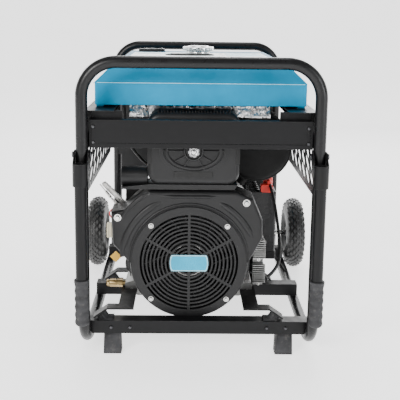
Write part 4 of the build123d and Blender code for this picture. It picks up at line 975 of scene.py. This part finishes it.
# folded supports under the tank's edges, behind the cross panel
bm = bmesh.new()
for side_x in (-1, 1):
    plate(
        bm,
        rectangle(side_x * 0.232, side_x * 0.292, -0.442, 0.392),
        (0, 0, 0.672),
        RIGHT,
        BACK,
        0.0025,
    )
    plate(
        bm,
        rectangle(side_x * 0.208, side_x * 0.290, 0.652, 0.685),
        (0, -0.443, 0),
        RIGHT,
        UP,
        0.002,
    )
place(from_bmesh("tank_supports", bm), "chassis", SKIN["frame_sheet"])
# pivot bolts of the handles: their axis is along X, so lathe() gives them no width
for side_x, name in ((-1, "left_pivot_bolt"), (1, "right_pivot_bolt")):
    screw_heads(name, [(side_x * 330.2, -480, 573)], (side_x, 0, 0), 7.0, 6.5, "chassis", "hex")

# dark baffle between the shroud and the air cleaner
bm = bmesh.new()
plate(
    bm,
    [(-0.208, 0.384), (-0.110, 0.384), (-0.110, 0.452), (-0.196, 0.452), (-0.214, 0.430), (-0.214, 0.396)],
    (0, -0.262, 0),
    RIGHT,
    UP,
    0.003,
)
place(soften(from_bmesh("cooling_baffle", bm), 0.0008), "chassis", EXTRA["dull_black"])

# sculpted ribs and flutes pressed into the front of the shroud
bm = bmesh.new()
rib(bm, arc(GRILLE_X, GRILLE_Z, 168, -15, 195, FRONT_WALL), FORWARD, 0.008, 0.004)
rib(bm, arc(GRILLE_X, GRILLE_Z, 190, 112, 176, FRONT_WALL), FORWARD, 0.020, 0.006)
rib(bm, arc(GRILLE_X, GRILLE_Z, 190, 20, 66, FRONT_WALL), FORWARD, 0.018, 0.006)
rib(bm, arc(GRILLE_X - 10, GRILLE_Z + 10, 214, 118, 150, FRONT_WALL), FORWARD, 0.012, 0.004)
rib(bm, [(x * MM, FRONT_WALL * MM, 0.438) for x in range(-112, 62, 6)], FORWARD, 0.010, 0.006)
place(from_bmesh("shroud_flutes", bm, 60), "chassis", SKIN["black_plastic"])

# ============================================== left side: wires and linkage
wire(
    "red_lead",
    [(-236, -282, 330), (-252, -288, 345), (-262, -292, 366), (-246, -294, 382), (-228, -288, 372)],
    2.2,
    EXTRA["red_wire"],
)
wire(
    "white_lead",
    [(-232, -280, 326), (-246, -284, 338), (-254, -287, 356), (-240, -289, 370), (-226, -284, 364)],
    2.0,
    EXTRA["cream"],
)
wire(
    "governor_rod",
    [(-286, -296, 451), (-262, -296, 421), (-240, -296, 394), (-219, -296, 368)],
    1.6,
    SKIN["steel"],
)
bm = bmesh.new()
lathe(
    bm,
    (-0.2700, -0.296, 0.4312),
    (0.62, 0, -0.78),
    [(0, 0.0030), (0.002, 0.0042), (0.024, 0.0042), (0.026, 0.0030)],
    24,
)
place(from_bmesh("rod_sleeve", bm), "chassis", SKIN["steel"])
spring_points = []
rod_start, rod_end = Vector((-252, -296, 409)), Vector((-228, -296, 379))
rod_way = (rod_end - rod_start).normalized()
rod_side, rod_up = basis(rod_way)
for i in range(12 * 14 + 1):
    t = i / (12 * 14)
    a = 2 * math.pi * 14 * t
    spring_points.append(
        rod_start.lerp(rod_end, t) + (rod_side * math.cos(a) + rod_up * math.sin(a)) * 3.7
    )
wire("governor_spring", [tuple(p) for p in spring_points], 0.7, SKIN["steel"])


def connector(name, centre_mm, size_mm, skin):
    """Small moulded plug: a block with two rounded ribs."""
    bm = bmesh.new()
    width, depth, height = (c * MM for c in size_mm)
    origin = Vector(centre_mm) * MM + Vector((0, depth / 2, 0))
    plate(bm, rounded(width, height, min(width, height) * 0.2), origin, RIGHT, UP, depth)
    for side_x in (-1, 1):
        plate(
            bm,
            rounded(width * 0.18, height * 0.8, width * 0.06),
            origin + Vector((side_x * width * 0.26, -depth, 0)),
            RIGHT,
            UP,
            0.002,
        )
    return place(soften(from_bmesh(name, bm), 0.0006), "chassis", skin)


connector("left_plug", (-262, -262, 305), (16, 16, 44), EXTRA["cream"])
connector("upper_plug_a", (-243, -300, 590), (14, 14, 22), EXTRA["cream"])
connector("upper_plug_b", (-222, -300, 574), (14, 14, 18), EXTRA["cream"])
bm = bmesh.new()
plate(
    bm,
    [(0.0175, 0), (0, 0.0175), (-0.0175, 0), (0, -0.0175)],
    (-0.243, -0.2765, 0.2275),
    RIGHT,
    UP,
    0.0012,
)
place(from_bmesh("yellow_tag", bm), "chassis", EXTRA["yellow"])

# rectifier blocks with deep fins on a back strip, and a screw in each
bm = bmesh.new()
plate(bm, rounded(0.030, 0.150, 0.002), (0.178, -0.2641, 0.216), RIGHT, UP, 0.0038)
for z in (0.182, 0.256):
    plate(bm, rounded(0.034, 0.056, 0.002), (0.178, -0.268, z), RIGHT, UP, 0.010)
    for k in range(9):
        level = z - 0.0268 + 0.0064 * k
        plate(
            bm,
            rectangle(0.161, 0.198, -0.290, -0.278),
            (0, 0, level),
            RIGHT,
            BACK,
            0.0024,
        )
fins = place(from_bmesh("finned_rectifiers", bm), "chassis", SKIN["cast_aluminium"])
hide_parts("regulator_blocks")
screw_heads("rectifier_screws", [(178, -290, 226), (178, -290, 152)], FORWARD, 3.4, 4.0, "chassis")

# ============================================================ battery details
battery_low, battery_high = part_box("battery")
bm = bmesh.new()
profile = [(0, 0.014), (0.012, 0.016), (0.024, 0.0155), (0.036, 0.012), (0.044, 0.008)]
lathe(bm, (0.229, -0.018, 0.386), UP, profile, 30)
lathe(bm, (0.229, -0.012, 0.404), FORWARD, [(0, 0.009), (0.030, 0.0085), (0.044, 0.0065)], 26)
plate(bm, rounded(0.040, 0.026, 0.007), (0.222, -0.034, 0.3855), RIGHT, UP, 0.026)
place(soften(from_bmesh("terminal_boot", bm), 0.0012), "chassis", EXTRA["red"])
battery_lead = wire(
    "battery_lead",
    [
        (229, -8, 400),
        (231, -50, 404),
        (240, -110, 362),
        (246, -165, 304),
        (250, -220, 242),
        (240, -262, 190),
        (205, -279, 168),
    ],
    5.0,
    SKIN["cable"],
)
left_lead = wire(
    "left_spark_lead",
    [
        (-124.1, -229, 416.95),
        (-108, -229, 433),
        (-92, -196, 440),
        (-82, -150, 405),
        (-60, -112, 365),
        (-60, -110, 338.6),
    ],
    3.5,
    SKIN["cable"],
)
right_lead = wire(
    "right_spark_lead",
    [
        (68.05, -201, 416.95),
        (52, -201, 433),
        (40, -170, 440),
        (28, -130, 400),
        (8, -112, 365),
        (8, -110, 338.6),
    ],
    3.5,
    SKIN["cable"],
)
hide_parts("engine_wiring")
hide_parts("engine_wiring")
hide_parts("engine_wiring")
hose = wire(
    "smooth_fuel_hose",
    [
        (-222, -216, 692.9),
        (-222, -216, 630),
        (-212, -214, 560),
        (-170, -218, 505),
        (-112, -214, 466),
        (-58.8, -216, 448),
    ],
    4.5,
    SKIN["cable"],
)
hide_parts("fuel_hose")

# battery: filler caps and ribs on its outer side
bm = bmesh.new()
mid = (battery_low + battery_high) / 2
for k in range(6):
    lathe(
        bm,
        (mid.x, battery_low.y + 0.024 + 0.028 * k, 0.3715),
        UP,
        [(0, 0.009), (0.0022, 0.009), (0.003, 0.0078)],
        24,
    )
place(from_bmesh("battery_caps", bm), "chassis", SKIN["gloss_black"])
bm = bmesh.new()
for k in range(7):
    y = battery_low.y + 0.020 + 0.0247 * k
    plate(
        bm,
        rectangle(-0.0013, 0.0013, 0, 0.11),
        (battery_high.x - 0.0002, y, 0.216),
        BACK,
        UP,
        0.0012,
    )
place(from_bmesh("battery_ribs", bm), "chassis", SKIN["gloss_black"])

# ================================================== muffler seams, sump bolts
muffler_low, muffler_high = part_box("muffler")
muffler_mid = (muffler_low + muffler_high) / 2
bm = bmesh.new()
for y in (muffler_low.y + 0.010, muffler_high.y - 0.010):
    r = 0.1022
    lathe(
        bm,
        (muffler_mid.x, y - 0.004, muffler_mid.z),
        BACK,
        [(0, r - 0.001), (0, r), (0.002, r + 0.0018), (0.006, r + 0.0018), (0.008, r), (0.008, r - 0.001)],
        72,
    )
place(from_bmesh("muffler_seams", bm, 25), "chassis", SKIN["muffler_black"])

case_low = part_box("crankcase")[0]
spots = []
for x in (-196, -150, 96, 142):
    spots.append((x, case_low.y / MM - 0.2, 128))
screw_heads("sump_bolts", spots, FORWARD, 5.0, 5.0, "chassis", "hex")

# ============================================================== operator's side
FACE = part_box("control_panel")[1].y
bm = bmesh.new()
for turn in range(-5, 6):
    a = math.radians(90 + 27 * turn)
    # seen from the back, right is -X
    direction = Vector((-math.cos(a), 0, math.sin(a)))
    plate(
        bm,
        rectangle(0.034, 0.041, -0.0007, 0.0007),
        (0.170, FACE - 0.0002, 0.530),
        direction,
        Vector(BACK).cross(direction) * -1,
        0.0007,
    )
for k in range(7):
    x = -0.120 + 0.036 - 0.012 * k
    plate(
        bm,
        rectangle(-0.0005, 0.0005, 0, 0.006),
        (x, FACE + 0.0100, 0.604),
        (-1, 0, 0),
        UP,
        0.0006,
    )
place(from_bmesh("dial_marks", bm), "chassis", EXTRA["white_print"])
screws = [(x, FACE / MM - 0.1, z) for x in (-268, 268) for z in (368, 506, 644)]
screw_heads("panel_face_screws", screws, BACK, 3.6, 3.2, "chassis")

# printed frames round the groups of controls, and rings at the outputs
def line_frame(bm, centre_x, centre_z, width, height, line=0.0011):
    outer = rounded(width, height, 0.006, 5)
    inner = rounded(width - 2 * line, height - 2 * line, 0.005, 5)
    rings = []
    for outline, depth in ((outer, 0.0), (outer, 0.0005), (inner, 0.0005), (inner, 0.0)):
        rings.append(
            [bm.verts.new((centre_x - x, FACE - 0.0001 + depth, centre_z + z)) for x, z in outline]
        )
    rings.append(rings[0])
    bridge(bm, rings)


bm = bmesh.new()
line_frame(bm, 0.170, 0.478, 0.176, 0.190)
line_frame(bm, -0.095, 0.442, 0.222, 0.112)
line_frame(bm, -0.120, 0.590, 0.130, 0.090)
line_frame(bm, -0.240, 0.556, 0.056, 0.124)
line_frame(bm, 0.020, 0.590, 0.060, 0.070)
place(from_bmesh("panel_frames", bm), "chassis", EXTRA["white_print"])
for name, x, skin in (("output_ring_a", 0.120, "red"), ("output_ring_b", 0.220, "dull_black")):
    bm = bmesh.new()
    hoop_piece(bm, (x, FACE + 0.0008, 0.420), BACK, 0.0265, 0.0022, 56)
    place(from_bmesh(name, bm), "chassis", EXTRA[skin])

# ============================================================ floor and lights
def backdrop():
    """Pale floor that curves up into a wall a long way behind the machine."""
    profile = [(-45.0, 0.0), (4.5, 0.0)]
    for k in range(1, 13):
        a = math.pi / 2 * k / 12
        profile.append((4.5 + 3.0 * math.sin(a), 3.0 * (1 - math.cos(a))))
    profile.append((7.5, 9.0))
    bm = bmesh.new()
    rows = [[bm.verts.new((x, y, z - 0.0004)) for x in (-45.0, 45.0)] for y, z in profile]
    for low, high in zip(rows, rows[1:]):
        bm.faces.new((low[0], low[1], high[1], high[0]))
    return from_bmesh("floor", bm, 80)


floor = backdrop()
p = Paint("pale_floor")
tint = p.mix(p.spread(p.noise(3), 0.35, 0.7), (0.86, 0.86, 0.86), (0.90, 0.90, 0.90))
floor_rough = p.spread(p.noise(8), 0.3, 0.7, 0.6, 0.8)
glow = {"Emission Color": (1, 1, 1, 1), "Emission Strength": 1.5}
floor.data.materials.append(p.done(tint, floor_rough, p.bump(p.noise(90), 0.02, 0.001), **glow))


def lamp(name, place_m, aim_m, size, power, colour=(1, 1, 1)):
    light = bpy.data.lights.new(name, "AREA")
    light.shape = "RECTANGLE"
    light.size, light.size_y = size
    light.energy = power
    light.color = colour
    obj = bpy.data.objects.new(name, light)
    bpy.context.scene.collection.objects.link(obj)
    obj.location = place_m
    way = Vector(aim_m) - Vector(place_m)
    obj.rotation_euler = way.to_track_quat("-Z", "Y").to_euler()
    return obj


lamps = [
    lamp("key", (-1.9, -3.2, 1.9), (0, -0.3, 0.45), (1.2, 1.2), 115, (1.0, 0.99, 0.97)),
    lamp("fill", (2.6, -2.6, 1.3), (0, -0.3, 0.4), (1.0, 1.6), 55, (0.97, 0.98, 1.0)),
    lamp("top", (0, 0.2, 3.2), (0, 0.1, 0.5), (1.0, 1.0), 22),
    lamp("rim_light", (0.6, 3.0, 2.0), (0, 0, 0.5), (2.4, 1.2), 60),
]
world = bpy.data.worlds.new("world")
bpy.context.scene.world = world
world.use_nodes = True
background = world.node_tree.nodes["Background"]
background.inputs["Color"].default_value = (1, 1, 1, 1)
background.inputs["Strength"].default_value = 0.5
